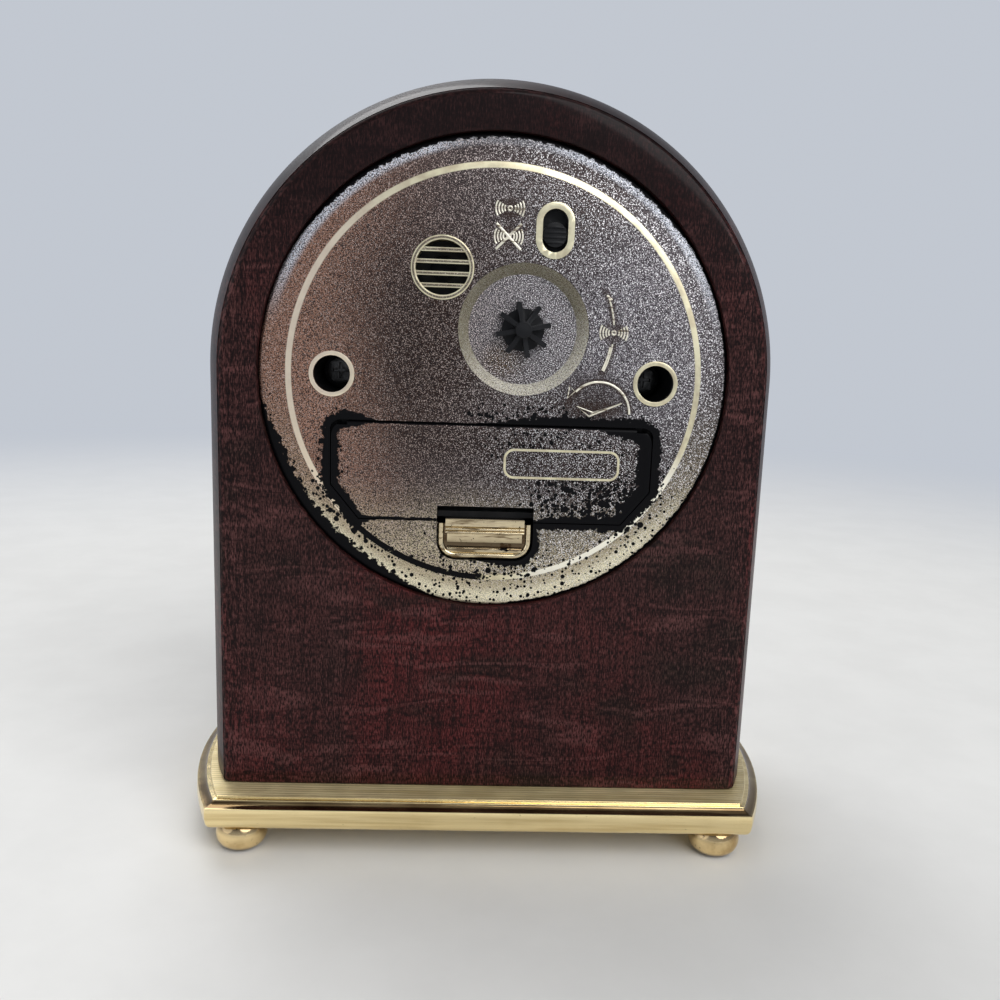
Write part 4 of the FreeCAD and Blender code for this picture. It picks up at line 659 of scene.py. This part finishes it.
def cellJacket():
    # a plain silver wrap with a dark band at the negative end
    look = jacketLook
    made = Finish("cellJacket", look, roughness=0.32, specular=0.5, coat=0.6, coatRoughness=0.12)
    low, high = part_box("battery")
    x = made.parts()[0]
    wrap = made.tint(made.noise(900, 2).fade(0.3, 0.7), "wrap", "wrapPale")
    split = low.x + (high.x - low.x) * look["bandShare"]
    made.colour("band", (x.fade(split - 0.1 * mm, split + 0.1 * mm), wrap))
    cap = low.x + look["capLength"]
    made.wire(metallic=x.fade(cap + 0.6 * mm, cap, 0.15, 1.0))
    made.bump(made.noise(300, 2), 0.00003, 0.2)
    return made


wood = lacqueredWood()
brass = polishedBrass(cove=(baseHigh.z - 1.4 * mm, baseHigh.z - 0.5 * mm))
fieldBrass = polishedBrass("brushedBrass", (0.97, 0.84, 0.52), (0.52, 0.4, 0.17), 0.4, brushed=0.8, metallic=0.55)
bezelBrass = polishedBrass("bezelBrass", colour=(0.86, 0.68, 0.33), roughness=0.1)
footBrass = antiqueBrass()
plated = platedPlastic()
gilt = giltPlastic("giltPlastic", giltLook["colour"], 0.42, pitted=True)
signGilt = giltPlastic("signGilt", (0.84, 0.8, 0.68), 9.0, metallic=0.2)
blackPlastic = mouldedPlastic("blackPlastic", (0.006, 0.0063, 0.0075), 0.42)
movementPlastic = mouldedPlastic("movementPlastic", (0.05, 0.05, 0.052), 0.5)
wheelPlastic = mouldedPlastic("wheelPlastic", (0.72, 0.7, 0.64), 0.4)
boreBlack = mouldedPlastic("housingPlastic", (0.02, 0.02, 0.021), 0.5)
board = mouldedPlastic("boardLaminate", (0.05, 0.16, 0.06), 0.4)
bobbinPlastic = mouldedPlastic("bobbinPlastic", (0.55, 0.52, 0.45))
magnet = mouldedPlastic("magnetFerrite", (0.05, 0.05, 0.055), 0.6)
steel = plainMetal("steel", (0.62, 0.62, 0.62), 0.28)
darkSteel = plainMetal("blackenedSteel", (0.09, 0.088, 0.086), 0.36)
handGold = plainMetal("handGold", (0.8, 0.6, 0.25), 0.22)
ringGold = plainMetal("ringGold", (0.8, 0.63, 0.3), 0.2)
contactMetal = plainMetal("contactMetal", (0.72, 0.68, 0.58), 0.24)
ink = printedInk("dialPrint", (0.012, 0.011, 0.012))
handBlack = printedInk("handBlack", (0.01, 0.01, 0.011))
dialIvory = dialPaint()
glass = clearGlass()
copper = copperWindings()
jacket = cellJacket()
print("finishes made")


# CAD nodes that keep their shape: for each finish, its nodes and how far their edges are softened (mm)

nodeLooks = [
    (plated, dict(back_cover=0.1, battery_door=0.12)), (gilt, dict(door_latch=0.18)),
    (blackPlastic, dict(alarm_switch=0.1, set_knob=0.1, buzzer=0.15)), (darkSteel, dict(cover_screws=0.1)),
    (steel, dict(base_screws=0.12, movement_screws=0.05, stator=0.04, quartz_crystal=0.08)),
    (bezelBrass, dict(bezel=0.15)), (glass, dict(lens=0.1)), (ringGold, dict(spacer_ring=0.05)),
    (dialIvory, dict(dial=0.05)), (ink, dict(minute_track=0, dial_numerals=0)),
    (boreBlack, dict(insert_housing=0.1, battery_tray=0.12)), (bobbinPlastic, dict(coil_bobbin=0.05)),
    (movementPlastic, dict(front_plate=0.1, middle_plate=0.08, back_plate=0.1, plate_spacers=0.05)),
    (copper, dict(coil=0.05, buzzer_leads=0)), (board, dict(circuit_board=0.05)), (jacket, dict(battery=0.25)),
    (contactMetal, dict(switch_leaf=0.03, battery_contact=0.06, battery_spring=0.04)),
    (wheelPlastic, dict(set_wheel=0.02, cannon_pinion=0.02, hour_wheel=0.02, alarm_wheel=0.02,
                        second_wheel=0.02, centre_wheel=0.02, third_wheel=0.02, fifth_wheel=0.02)),
    (magnet, dict(rotor=0.02)), (handBlack, dict(hour_hand=0.06, minute_hand=0.06)),
    (handGold, dict(alarm_hand=0.05, second_hand=0.04)),
    (wood, dict(wood_case=0)), (brass, dict(brass_base=0)), (footBrass, dict(bun_feet=0)),
]


def dressNode(name, finish, edge):
    node = nodes[name]
    for slot in node.material_slots:
        slot.material = finish.material
    if not node.material_slots:
        node.data.materials.append(finish.material)
    node.data.shade_smooth()
    adjusted(node.modifiers.new("weld", "WELD"), merge_threshold=1e-6)
    if edge:
        adjusted(node.modifiers.new("softEdge", "BEVEL"), angle_limit=radians(40), width=edge * mm, segments=2)
    adjusted(node.modifiers.new("faceNormals", "WEIGHTED_NORMAL"), weight=100)


for nodeFinish, edges in nodeLooks:
    for nodeName, nodeEdge in edges.items():
        dressNode(nodeName, nodeFinish, nodeEdge)
print("nodes dressed")


# Wood case: a bowed strip round the arch, two flat faces and the bore

caseShape = dict(bow=6.0 * mm, edge=1.4 * mm, bore=44.45 * mm, boreEdge=0.2 * mm, boreEdgeSteps=3,
                 lowerEdge=0.7 * mm, lowerEdgeSteps=4, crownWidth=4.5 * mm, crownDrop=0.22 * mm, crownSteps=8,
                 bowSteps=36, roundSteps=8, straightSteps=18, archSteps=128, floorSteps=24)


def caseProfile():
    # radius and depth across the case, from the front rim to the back rim
    shape = Fields(**caseShape)
    halfDepth = (caseHigh.y - caseLow.y) / 2
    faceHalf = caseHigh.x - shape.bow
    radius = (halfDepth ** 2 + shape.bow ** 2) / (2 * shape.bow)
    centre = faceHalf + shape.bow - radius
    edge = shape.edge
    roundX = centre + sqrt((radius - edge) ** 2 - (halfDepth - edge) ** 2)
    lean = degrees(atan2(halfDepth - edge, roundX - centre))
    wide, drop = shape.crownWidth, shape.crownDrop
    slope = degrees(atan(2 * drop / wide))
    start = roundX + edge * sin(radians(slope)) - wide
    crown = [(start + wide * k, drop * k ** 2 - halfDepth)
             for k in [i / shape.crownSteps for i in range(shape.crownSteps)]]
    low = -halfDepth + drop + edge * cos(radians(slope))
    path = crown + arc(roundX, low, edge, -90 + slope, -lean, shape.roundSteps)
    path += arc(centre, 0, radius, -lean, lean, shape.bowSteps)[1:]
    path += arc(roundX, -low, edge, lean, 90 - slope, shape.roundSteps)[1:]
    return path + [(x, -y) for x, y in reversed(crown)]


def caseStations(floorZ, inner):
    # up one side, over the arch and down the other: height, direction outwards and length along the strip
    shape = Fields(**caseShape)
    drops = [(insertZ - floorZ) * i / shape.straightSteps for i in range(1, shape.straightSteps + 1)]
    turns = [pi * i / shape.archSteps for i in range(shape.archSteps + 1)]
    return ([(insertZ - drop, 1.0, 0.0, -drop) for drop in reversed(drops)]
            + [(insertZ, cos(t), sin(t), t * inner) for t in turns]
            + [(insertZ - drop, -1.0, 0.0, pi * inner + drop) for drop in drops])


def woodCase():
    shape = Fields(**caseShape)
    profile = caseProfile()
    floorZ = caseLow.z + shape.lowerEdge
    bm = bmesh.new()
    grainOf = {}  # the strip's grain follows the arch
    rows = []
    for z, dx, dz, length in caseStations(floorZ, profile[0][0]):
        row = []
        for radius, depth in profile:
            vert = bm.verts.new((radius * dx, depth, z + radius * dz))
            grainOf[vert] = (depth, radius * 0.2, length)
            row.append(vert)
        rows.append(row)
    stripFaces = set()
    for one, two in zip(rows, rows[1:]):
        for i in range(len(profile) - 1):
            face = bm.faces.new([one[i], one[i + 1], two[i + 1], two[i]])
            if shape.crownSteps <= i < len(profile) - 1 - shape.crownSteps:
                stripFaces.add(face)

    # the two flat faces, each with a softened bore edge
    floors, bores = [], []
    steps = shape.floorSteps
    for side, depth, inward in ((0, caseLow.y, 1), (-1, caseHigh.y, -1)):
        outline = [row[side] for row in rows]
        floor = [bm.verts.new((outline[-1].co.x * (1 - 2 * i / steps), depth, floorZ)) for i in range(1, steps)]
        last = outline + floor
        turns = [atan2(vert.co.z - insertZ, vert.co.x) for vert in last]
        for lean in [0] + quarter(shape.boreEdgeSteps):
            radius = shape.bore + shape.boreEdge * (1 - sin(lean))
            y = depth + inward * shape.boreEdge * (1 - cos(lean))
            ring = [bm.verts.new((radius * cos(t), y, insertZ + radius * sin(t))) for t in turns]
            ringFaces(bm, last, ring)
            last = ring
        floors.append(floor)
        bores.append(last)
    ringFaces(bm, *bores)

    # the rounded lower edge and the underside
    rim = rows[0][::-1] + floors[0][::-1] + rows[-1] + floors[1]
    outline = [vert.co.copy() for vert in rim]
    for lean in quarter(shape.lowerEdgeSteps):
        down = Vector((0, 0, sin(lean)))
        ring = []
        for i, point in enumerate(outline):
            along = (outline[(i + 1) % len(outline)] - outline[i - 1]).normalized()
            inward = Vector((-along.y, along.x, 0))
            if inward.dot(point) > 0:
                inward = -inward
            ring.append(bm.verts.new(point + shape.lowerEdge * (inward * (1 - cos(lean)) - down)))
        ringFaces(bm, rim, ring)
        rim = ring
    bm.faces.new(rim)
    bmesh.ops.recalc_face_normals(bm, faces=bm.faces)
    layer = bm.loops.layers.float_vector.new("grain")
    for face in bm.faces:
        for loop in face.loops:
            loop[layer] = grainOf[loop.vert] if face in stripFaces else loop.vert.co
    piece = makePiece("wood_shell", bm, [wood], "root", 30, evenShading=True, weld=False)
    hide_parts("wood_case")


woodCase()
print("wood case made")


# Brass base and its bun feet

baseShape = dict(fieldHalfDepth=30.4 * mm, cornerX=51.85 * mm, endBow=6.55 * mm, drop=0.5 * mm, step=0.4 * mm,
                 ledge=0.8 * mm, coveWidth=1.8 * mm, coveHeight=1.0 * mm, belly=0.15 * mm, lower=1.9 * mm,
                 corner=0.45 * mm, softEdge=0.12 * mm, endSteps=40, roundSteps=8)


def basePlan(out, z):
    # the base's outline at one height, moved out by a distance
    shape = Fields(**baseShape)
    halfDepth = shape.fieldHalfDepth
    radius = (halfDepth ** 2 + shape.endBow ** 2) / (2 * shape.endBow)
    centre = shape.cornerX + shape.endBow - radius
    swing = degrees(asin((halfDepth + out) / (radius + out)))
    right = arc(centre, 0, radius + out, -swing, swing, shape.endSteps)
    corners = right + [(-x, -y) for x, y in right]
    radii = [shape.corner, *[0] * (shape.endSteps - 1), shape.corner] * 2
    return [(x, y, z) for x, y in softened(corners, radii, 4)]


def baseProfile():
    # (out, height) from the field's edge over the step, the ledge, the cove and the side to the underside
    shape = Fields(**baseShape)
    top, bottom = baseHigh.z, baseLow.z - shape.drop
    soft, ledge, steps = shape.softEdge, shape.ledge, shape.roundSteps
    edge = ledge + shape.coveWidth
    ledgeZ = top - shape.step
    profile = [(-soft + o, top - soft + h) for o, h in arc(0, 0, soft, 90, 0, 3)] + [(0, ledgeZ + soft)]
    profile += [(soft * (1 - cos(t)), ledgeZ + soft * (1 - sin(t))) for t in (0.5, 1.1, 1.57)]
    profile += [(ledge - soft + o, ledgeZ - soft + h) for o, h in arc(0, 0, soft, 90, 10, 3)]
    profile += [(ledge + shape.coveWidth * (1 - cos(t)),
                 ledgeZ - soft - (shape.coveHeight - soft) * sin(t)) for t in quarter(steps)]
    sideTop, sideLow = ledgeZ - shape.coveHeight, bottom + shape.lower
    profile[-1] = (edge - soft, sideTop)
    profile.append((edge - soft * 0.3, sideTop - soft * 0.3))
    profile += [(edge + 4 * shape.belly * k * (1 - k), sideTop - soft + (sideLow - sideTop + soft) * k)
                for k in [i / steps for i in range(steps + 1)]]
    profile += [(edge - shape.lower * (1 - cos(t)), sideLow - shape.lower * sin(t)) for t in quarter(steps)]
    return profile


def brassBase():
    bm = bmesh.new()
    skin(bm, [[bm.verts.new(p) for p in basePlan(out, z)] for out, z in baseProfile()])
    bmesh.ops.recalc_face_normals(bm, faces=bm.faces)
    bm.faces.ensure_lookup_table()
    bm.faces[-2].material_index = 1  # the brushed field
    piece = makePiece("brass_plinth", bm, [brass, fieldBrass], "root", 32, evenShading=True, weld=False)
    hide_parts("brass_base")


footShape = dict(widest=3.1 * mm, radius=5.1 * mm, flat=2.4 * mm, top=3.5 * mm, inset=1.1 * mm,
                 insetDepth=0.2 * mm, steps=12)


def bunFeet(widest, radius, flat, top, inset, insetDepth, steps):
    low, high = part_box("bun_feet")
    height = baseLow.z - baseShape["drop"]
    x, y = high.x - radius - inset, high.y - radius - insetDepth
    turns = quarter(steps)
    profile = [(0, 0), (flat, 0)]
    profile += [(flat + (radius - flat) * sin(t), widest * (1 - cos(t))) for t in turns]
    profile += [(top + (radius - top) * cos(t), widest + (height - widest) * sin(t)) for t in turns]
    profile.append((0, height))
    bm = bmesh.new()
    for sx in (-1, 1):
        for sy in (-1, 1):
            latheInto(bm, profile, aboutZ(sx * x, sy * y), 64, closed=False)
    piece = makePiece("foot_buns", bm, [footBrass], "root", 50, evenShading=True)
    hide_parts("bun_feet")


brassBase()
bunFeet(**footShape)
print("base made")


# The cover's outer rim closes the gap to the bore

rimShape = dict(outer=44.38 * mm, inner=42.4 * mm, rounding=0.75 * mm, deep=3.0 * mm, drop=0.69 * mm,
                bevel=0.1 * mm)


def coverRim(outer, inner, rounding, deep, drop, bevel):
    top = faceY - drop
    profile = [(inner, top - deep), (inner, top - bevel), (inner + bevel, top)]
    profile += arc(outer - rounding, top - rounding, rounding, 90, 0, 8)
    profile.append((outer, top - deep))
    bm = bmesh.new()
    latheInto(bm, profile, aboutY(0, insertZ), 192)
    piece = makePiece("cover_rim", bm, [plated], "root", 40)


coverRim(**rimShape)


# Knob cap: the round top between the blades

capShape = dict(radius=1.55 * mm, rise=0.12 * mm, hollow=0.05 * mm, rim=0.3 * mm, edge=0.12 * mm, deep=1.5 * mm)


def knobCap(radius, rise, hollow, rim, edge, deep):
    low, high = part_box("set_knob")
    middle = (low + high) / 2
    top = high.y + rise
    inner = radius - rim
    profile = [(0, top - hollow), (inner - hollow, top - hollow), (inner, top)]
    profile += arc(radius - edge, top - edge, edge, 90, 0, 4)
    profile += [(radius, top - deep), (0, top - deep)]
    bm = bmesh.new()
    latheInto(bm, profile, aboutY(middle.x, middle.z), 48, closed=False)
    piece = makePiece("knob_cap", bm, [blackPlastic], "set_arbor", 40)


knobCap(**capShape)


# Battery spring: a cone of wire that presses on the cell's flat end

springShape = dict(wire=0.45 * mm, turns=4.5, steps=40, smallRadius=2.2 * mm)


def batterySpring(wire, turns, steps, smallRadius):
    low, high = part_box("battery_spring")
    middle = (low + high) / 2
    bigRadius = (high.z - low.z) / 2 - wire
    count = int(turns * steps)
    path = []
    for i in range(count + 1):
        share = i / count
        turn = 2 * pi * turns * share
        radius = smallRadius + (bigRadius - smallRadius) * share
        x = low.x + wire + (high.x - low.x - 2 * wire) * share
        path.append(Vector((x, middle.y + radius * cos(turn), middle.z + radius * sin(turn))))
    bm = bmesh.new()
    tubeAlong(bm, path, wire, lambda point: Vector((0, point.y - middle.y, point.z - middle.z)))
    piece = makePiece("spring_coil", bm, [contactMetal], "root", 50)
    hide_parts("battery_spring")


batterySpring(**springShape)
print("rim, knob cap and spring made")


# Latch: a ribbed grip, a sloping dip and a rim bent round three sides

latchShape = dict(centre=0.9 * mm, width=18.1 * mm, gripWidth=15.3 * mm, gripTop=-27.1 * mm, gripLow=-30.1 * mm,
                  gripFlat=1.45 * mm, gripEdge=0.15 * mm, ridgeSink=0.38 * mm, ridgeGap=0.12 * mm,
                  rimTop=-28.0 * mm, low=-34.9 * mm, corner=3.4 * mm, rim=1.1 * mm, dip=0.9 * mm, thick=2.2 * mm,
                  grooveTop=-31.9 * mm, grooveLow=-32.7 * mm, grooveDeep=1.2 * mm, lipSink=0.45 * mm)


def extrudeAcross(bm, profile, left, right):
    # a closed (z, y) outline drawn out along X
    rings = [[bm.verts.new((x, y, z)) for z, y in profile] for x in (left, right)]
    skin(bm, rings, ends=False)
    for ring in rings:
        bm.faces.new(ring)


def latchOutline(inset, y):
    shape = Fields(**latchShape)
    half = shape.width / 2 - inset
    left, right = shape.centre - half, shape.centre + half
    low, top = insertZ + shape.low + inset, insertZ + shape.rimTop
    corner = shape.corner - inset
    outline = softened([(right, top), (left, top), (left, low), (right, low)], [0, 0, corner, corner], 10)
    return [(x, y, z) for x, z in outline]


def doorLatch():
    shape = Fields(**latchShape)
    top = faceY
    back = top - shape.thick
    rim, sink, gap = shape.rim, shape.ridgeSink, shape.ridgeGap
    halfTurn = [pi * k / 8 for k in range(1, 9)]
    bm = bmesh.new()
    steps = [(0, back), (0, top - rim / 2)]
    steps += [(rim / 2 * (1 - cos(t)), top - rim / 2 * (1 - sin(t))) for t in halfTurn] + [(rim, top - shape.dip)]
    skin(bm, [[bm.verts.new(point) for point in latchOutline(inset, y)] for inset, y in steps])

    # the grip's flat bar and two ridges
    high = insertZ + shape.gripTop
    flat, edge = shape.gripFlat, shape.gripEdge
    profile = [(high, back), (high, top - edge), (high - edge, top), (high - flat, top),
               (high - flat - gap, top - sink)]
    ridge = (shape.gripTop - shape.gripLow - flat - 2 * gap) / 2
    for i in range(2):
        start = high - flat - 2 * gap - i * ridge
        profile += [(start - ridge * (1 - cos(t)) / 2, top - sink * (1 - sin(t))) for t in halfTurn[:-1]]
        profile.append((start - ridge, top - sink))
    profile.append((insertZ + shape.gripLow, back))
    half = shape.gripWidth / 2
    extrudeAcross(bm, profile, shape.centre - half, shape.centre + half)

    # the sloping floor, the groove and the lip under the grip
    grooveTop, grooveLow, deep = shape.grooveTop, shape.grooveLow, top - shape.grooveDeep
    floorTop, lipLow, lipY = shape.gripLow + 0.3 * mm, shape.low + rim, top - shape.lipSink
    slope = [(floorTop, back), (floorTop, top - 0.3 * mm), (grooveTop + 0.25 * mm, top - 0.42 * mm),
             (grooveTop, top - 0.55 * mm), (grooveTop - 0.1 * mm, deep), (grooveLow + 0.1 * mm, deep),
             (grooveLow, lipY)]
    lip = lipLow - grooveLow
    slope += [(grooveLow + lip * (1 - cos(t)) / 2, lipY + sink * sin(t)) for t in halfTurn[:-1]]
    slope += [(lipLow - 0.2 * mm, top - 0.5 * mm), (lipLow - 0.2 * mm, back)]
    inner = shape.width / 2 - rim * 0.8 - 0.9 * mm
    extrudeAcross(bm, [(insertZ + z, y) for z, y in slope], shape.centre - inner, shape.centre + inner)
    piece = makePiece("latch_grip", bm, [gilt], "latch", 30, evenShading=True)
    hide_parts("door_latch")


doorLatch()
print("latch made")


# Raised signs on the cover: alarm waves, alarm off, set arrows

signShape = dict(line=0.17 * mm, rise=0.12 * mm, waves=(1.0, 1.5, 2.05, 2.6), spread=31, dot=0.36, cross=2.3,
                 arrowHead=((-20.42, 16.1), (-21.45, 15.35)),
                 clockHead=((-14.28, -0.83), (-15.3, -1.9), (-13.95, -3.2)),
                 clockHands=(((-15.8, -4.67), (-18.2, -6.5), (-18.9, -5.75)),
                             ((-24.3, -3.84), (-18.9, -5.75), (-18.2, -6.5))))


def signLine(bm, points, width=1.0, closed=False):
    path = [Vector((x * mm, faceY + signShape["rise"], insertZ + z * mm)) for x, z in points]
    tubeAlong(bm, path, signShape["line"] * width, lambda point: Vector((0, 1, 0)), closed=closed)


def signArc(bm, centre, radius, start, end, steps=12, width=1.0):
    signLine(bm, arc(*centre, radius, start, end, steps), width)


def soundWaves(bm, centre):
    shape = Fields(**signShape)
    for radius in shape.waves:
        for middle in (0, 180):
            signArc(bm, centre, radius, middle - shape.spread, middle + shape.spread)
    signArc(bm, centre, shape.dot, 0, 350, 16)


def coverSigns():
    shape, at = Fields(**signShape), Fields(**signPlaces)
    bm = bmesh.new()
    soundWaves(bm, at.alarmOn)
    soundWaves(bm, at.alarmOff)
    x, z = at.alarmOff
    cross = shape.cross
    for way in (-cross, cross):
        signLine(bm, ((x - cross, z - way), (x + cross, z + way)), 1.5)
    soundWaves(bm, at.alarmTime)

    # the alarm's arrow runs about the setting knob
    dish = coverPlaces["dish"]
    radius = dist(dish, at.alarmTime)
    signArc(bm, dish, radius, 175, 156)
    signLine(bm, shape.arrowHead)
    signArc(bm, dish, radius, 187, 205)
    signArc(bm, dish, radius - 0.35, 189, 205)

    # the clock's arrow and its two hands
    signArc(bm, at.clock, at.clockRadius, 180, 42, 28, 1.3)
    for points in (shape.clockHead, *shape.clockHands):
        signLine(bm, points, closed=True)
    piece = makePiece("cover_signs", bm, [signGilt], "root", 40)


coverSigns()
print("signs made")


# Camera, light and the plain stage

cameraPlace = dict(at=(5.59 * mm, 207.01 * mm, 104.37 * mm), yaw=2.33, pitch=-10.28, roll=1.99, lens=34.668)


def photoCamera():
    camera = placed("photoCamera", bpy.data.cameras.new("photoCamera"))
    adjusted(camera.data, lens=cameraPlace["lens"], sensor_width=36, clip_start=0.005)
    yaw, pitch, roll = (radians(cameraPlace[k]) for k in ("yaw", "pitch", "roll"))
    forward = Vector((-sin(yaw) * cos(pitch), -cos(yaw) * cos(pitch), sin(pitch)))
    right = Vector((-cos(yaw), sin(yaw), 0))
    up = right.cross(forward)
    turnedRight = right * cos(roll) + up * sin(roll)
    turnedUp = up * cos(roll) - right * sin(roll)
    matrix = Matrix((turnedRight, turnedUp, -forward)).transposed().to_4x4()
    matrix.translation = Vector(cameraPlace["at"])
    camera.matrix_world = matrix
    bpy.context.scene.camera = camera


# each lamp's place, size and power
lampLook = dict(keyPanel=((-0.62, 0.98, 0.95), 1.3, 17.0), fillPanel=((1.2, 0.6, 0.6), 1.4, 4.0),
                topPanel=((0.1, -0.1, 1.6), 2.0, 3.0), frontPanel=((0.45, -0.85, 1.35), 1.4, 17.0))
lampAim = Vector((0, 0, 0.08))
roomLook = dict(light=(0.82, 0.83, 0.85), strength=0.25, seen=(0.54, 0.575, 0.635), overhead=(0.13, 0.13, 0.14),
                dimming=(0.3, 0.72))


def anyRay(made):
    # 1 for camera, glossy and transmission rays
    ray = made.node("LightPath")
    return largest(*[Signal(made, ray.outputs[f"Is {kind} Ray"]) for kind in ("Camera", "Glossy", "Transmission")])


def studio():
    for name, (place, size, power) in lampLook.items():
        lamp = placed(name, bpy.data.lights.new(name, "AREA"))
        adjusted(lamp.data, shape="DISK", size=size, energy=power)
        lamp.location = place
        lamp.rotation_euler = (lampAim - Vector(place)).to_track_quat("-Z", "Y").to_euler()
    world = bpy.data.worlds.new("room")
    world.use_nodes = True
    bpy.context.scene.world = world
    room = Nodes(world.node_tree, roomLook)
    light = room.tree.nodes["Background"]
    room.feedAll(light, {"Color": "light", "Strength": "strength"})

    # the backdrop, pale at the horizon and dimmer overhead, for the eye and for reflections
    height = room.parts(room.node("TexCoord").outputs["Generated"])[2]
    backdrop = room.node("Background")
    room.feed(backdrop.inputs["Color"], room.tint(height.fade(*roomLook["dimming"]), "seen", "overhead"))
    mix = room.node("MixShader")
    room.feedAll(mix, {0: anyRay(room), 1: light.outputs[0], 2: backdrop.outputs[0]})
    room.feed(room.tree.nodes["World Output"].inputs["Surface"], mix.outputs[0])


floorLook = dict(colour=(0.7, 0.7, 0.69), shade=(0.67, 0.67, 0.66), size=4.0, fadeOut=(0.22, 0.75))


def stageFloor():
    look = floorLook
    made = Finish("paleFloor", look, roughness=0.6, specular=0.2)
    made.colour("colour", (made.noise(40, 4, 0.6).fade(0.3, 0.7), "shade"))
    x, y, z = made.parts()
    far = distance(x, y).fade(*look["fadeOut"])
    haze = made.node("Emission")
    made.feed(haze.inputs["Color"], roomLook["seen"])
    mix = made.node("MixShader")
    made.feedAll(mix, {0: far * anyRay(made), 1: made.shader.outputs[0], 2: haze.outputs[0]})
    made.feed(made.tree.nodes["Material Output"].inputs["Surface"], mix.outputs[0])
    bm = bmesh.new()
    bmesh.ops.create_circle(bm, cap_ends=True, segments=96, radius=look["size"])
    floor = meshObject("floor", bm, [made])


photoCamera()
studio()
stageFloor()
bpy.context.scene.view_settings.view_transform = "Standard"
print("stage made")
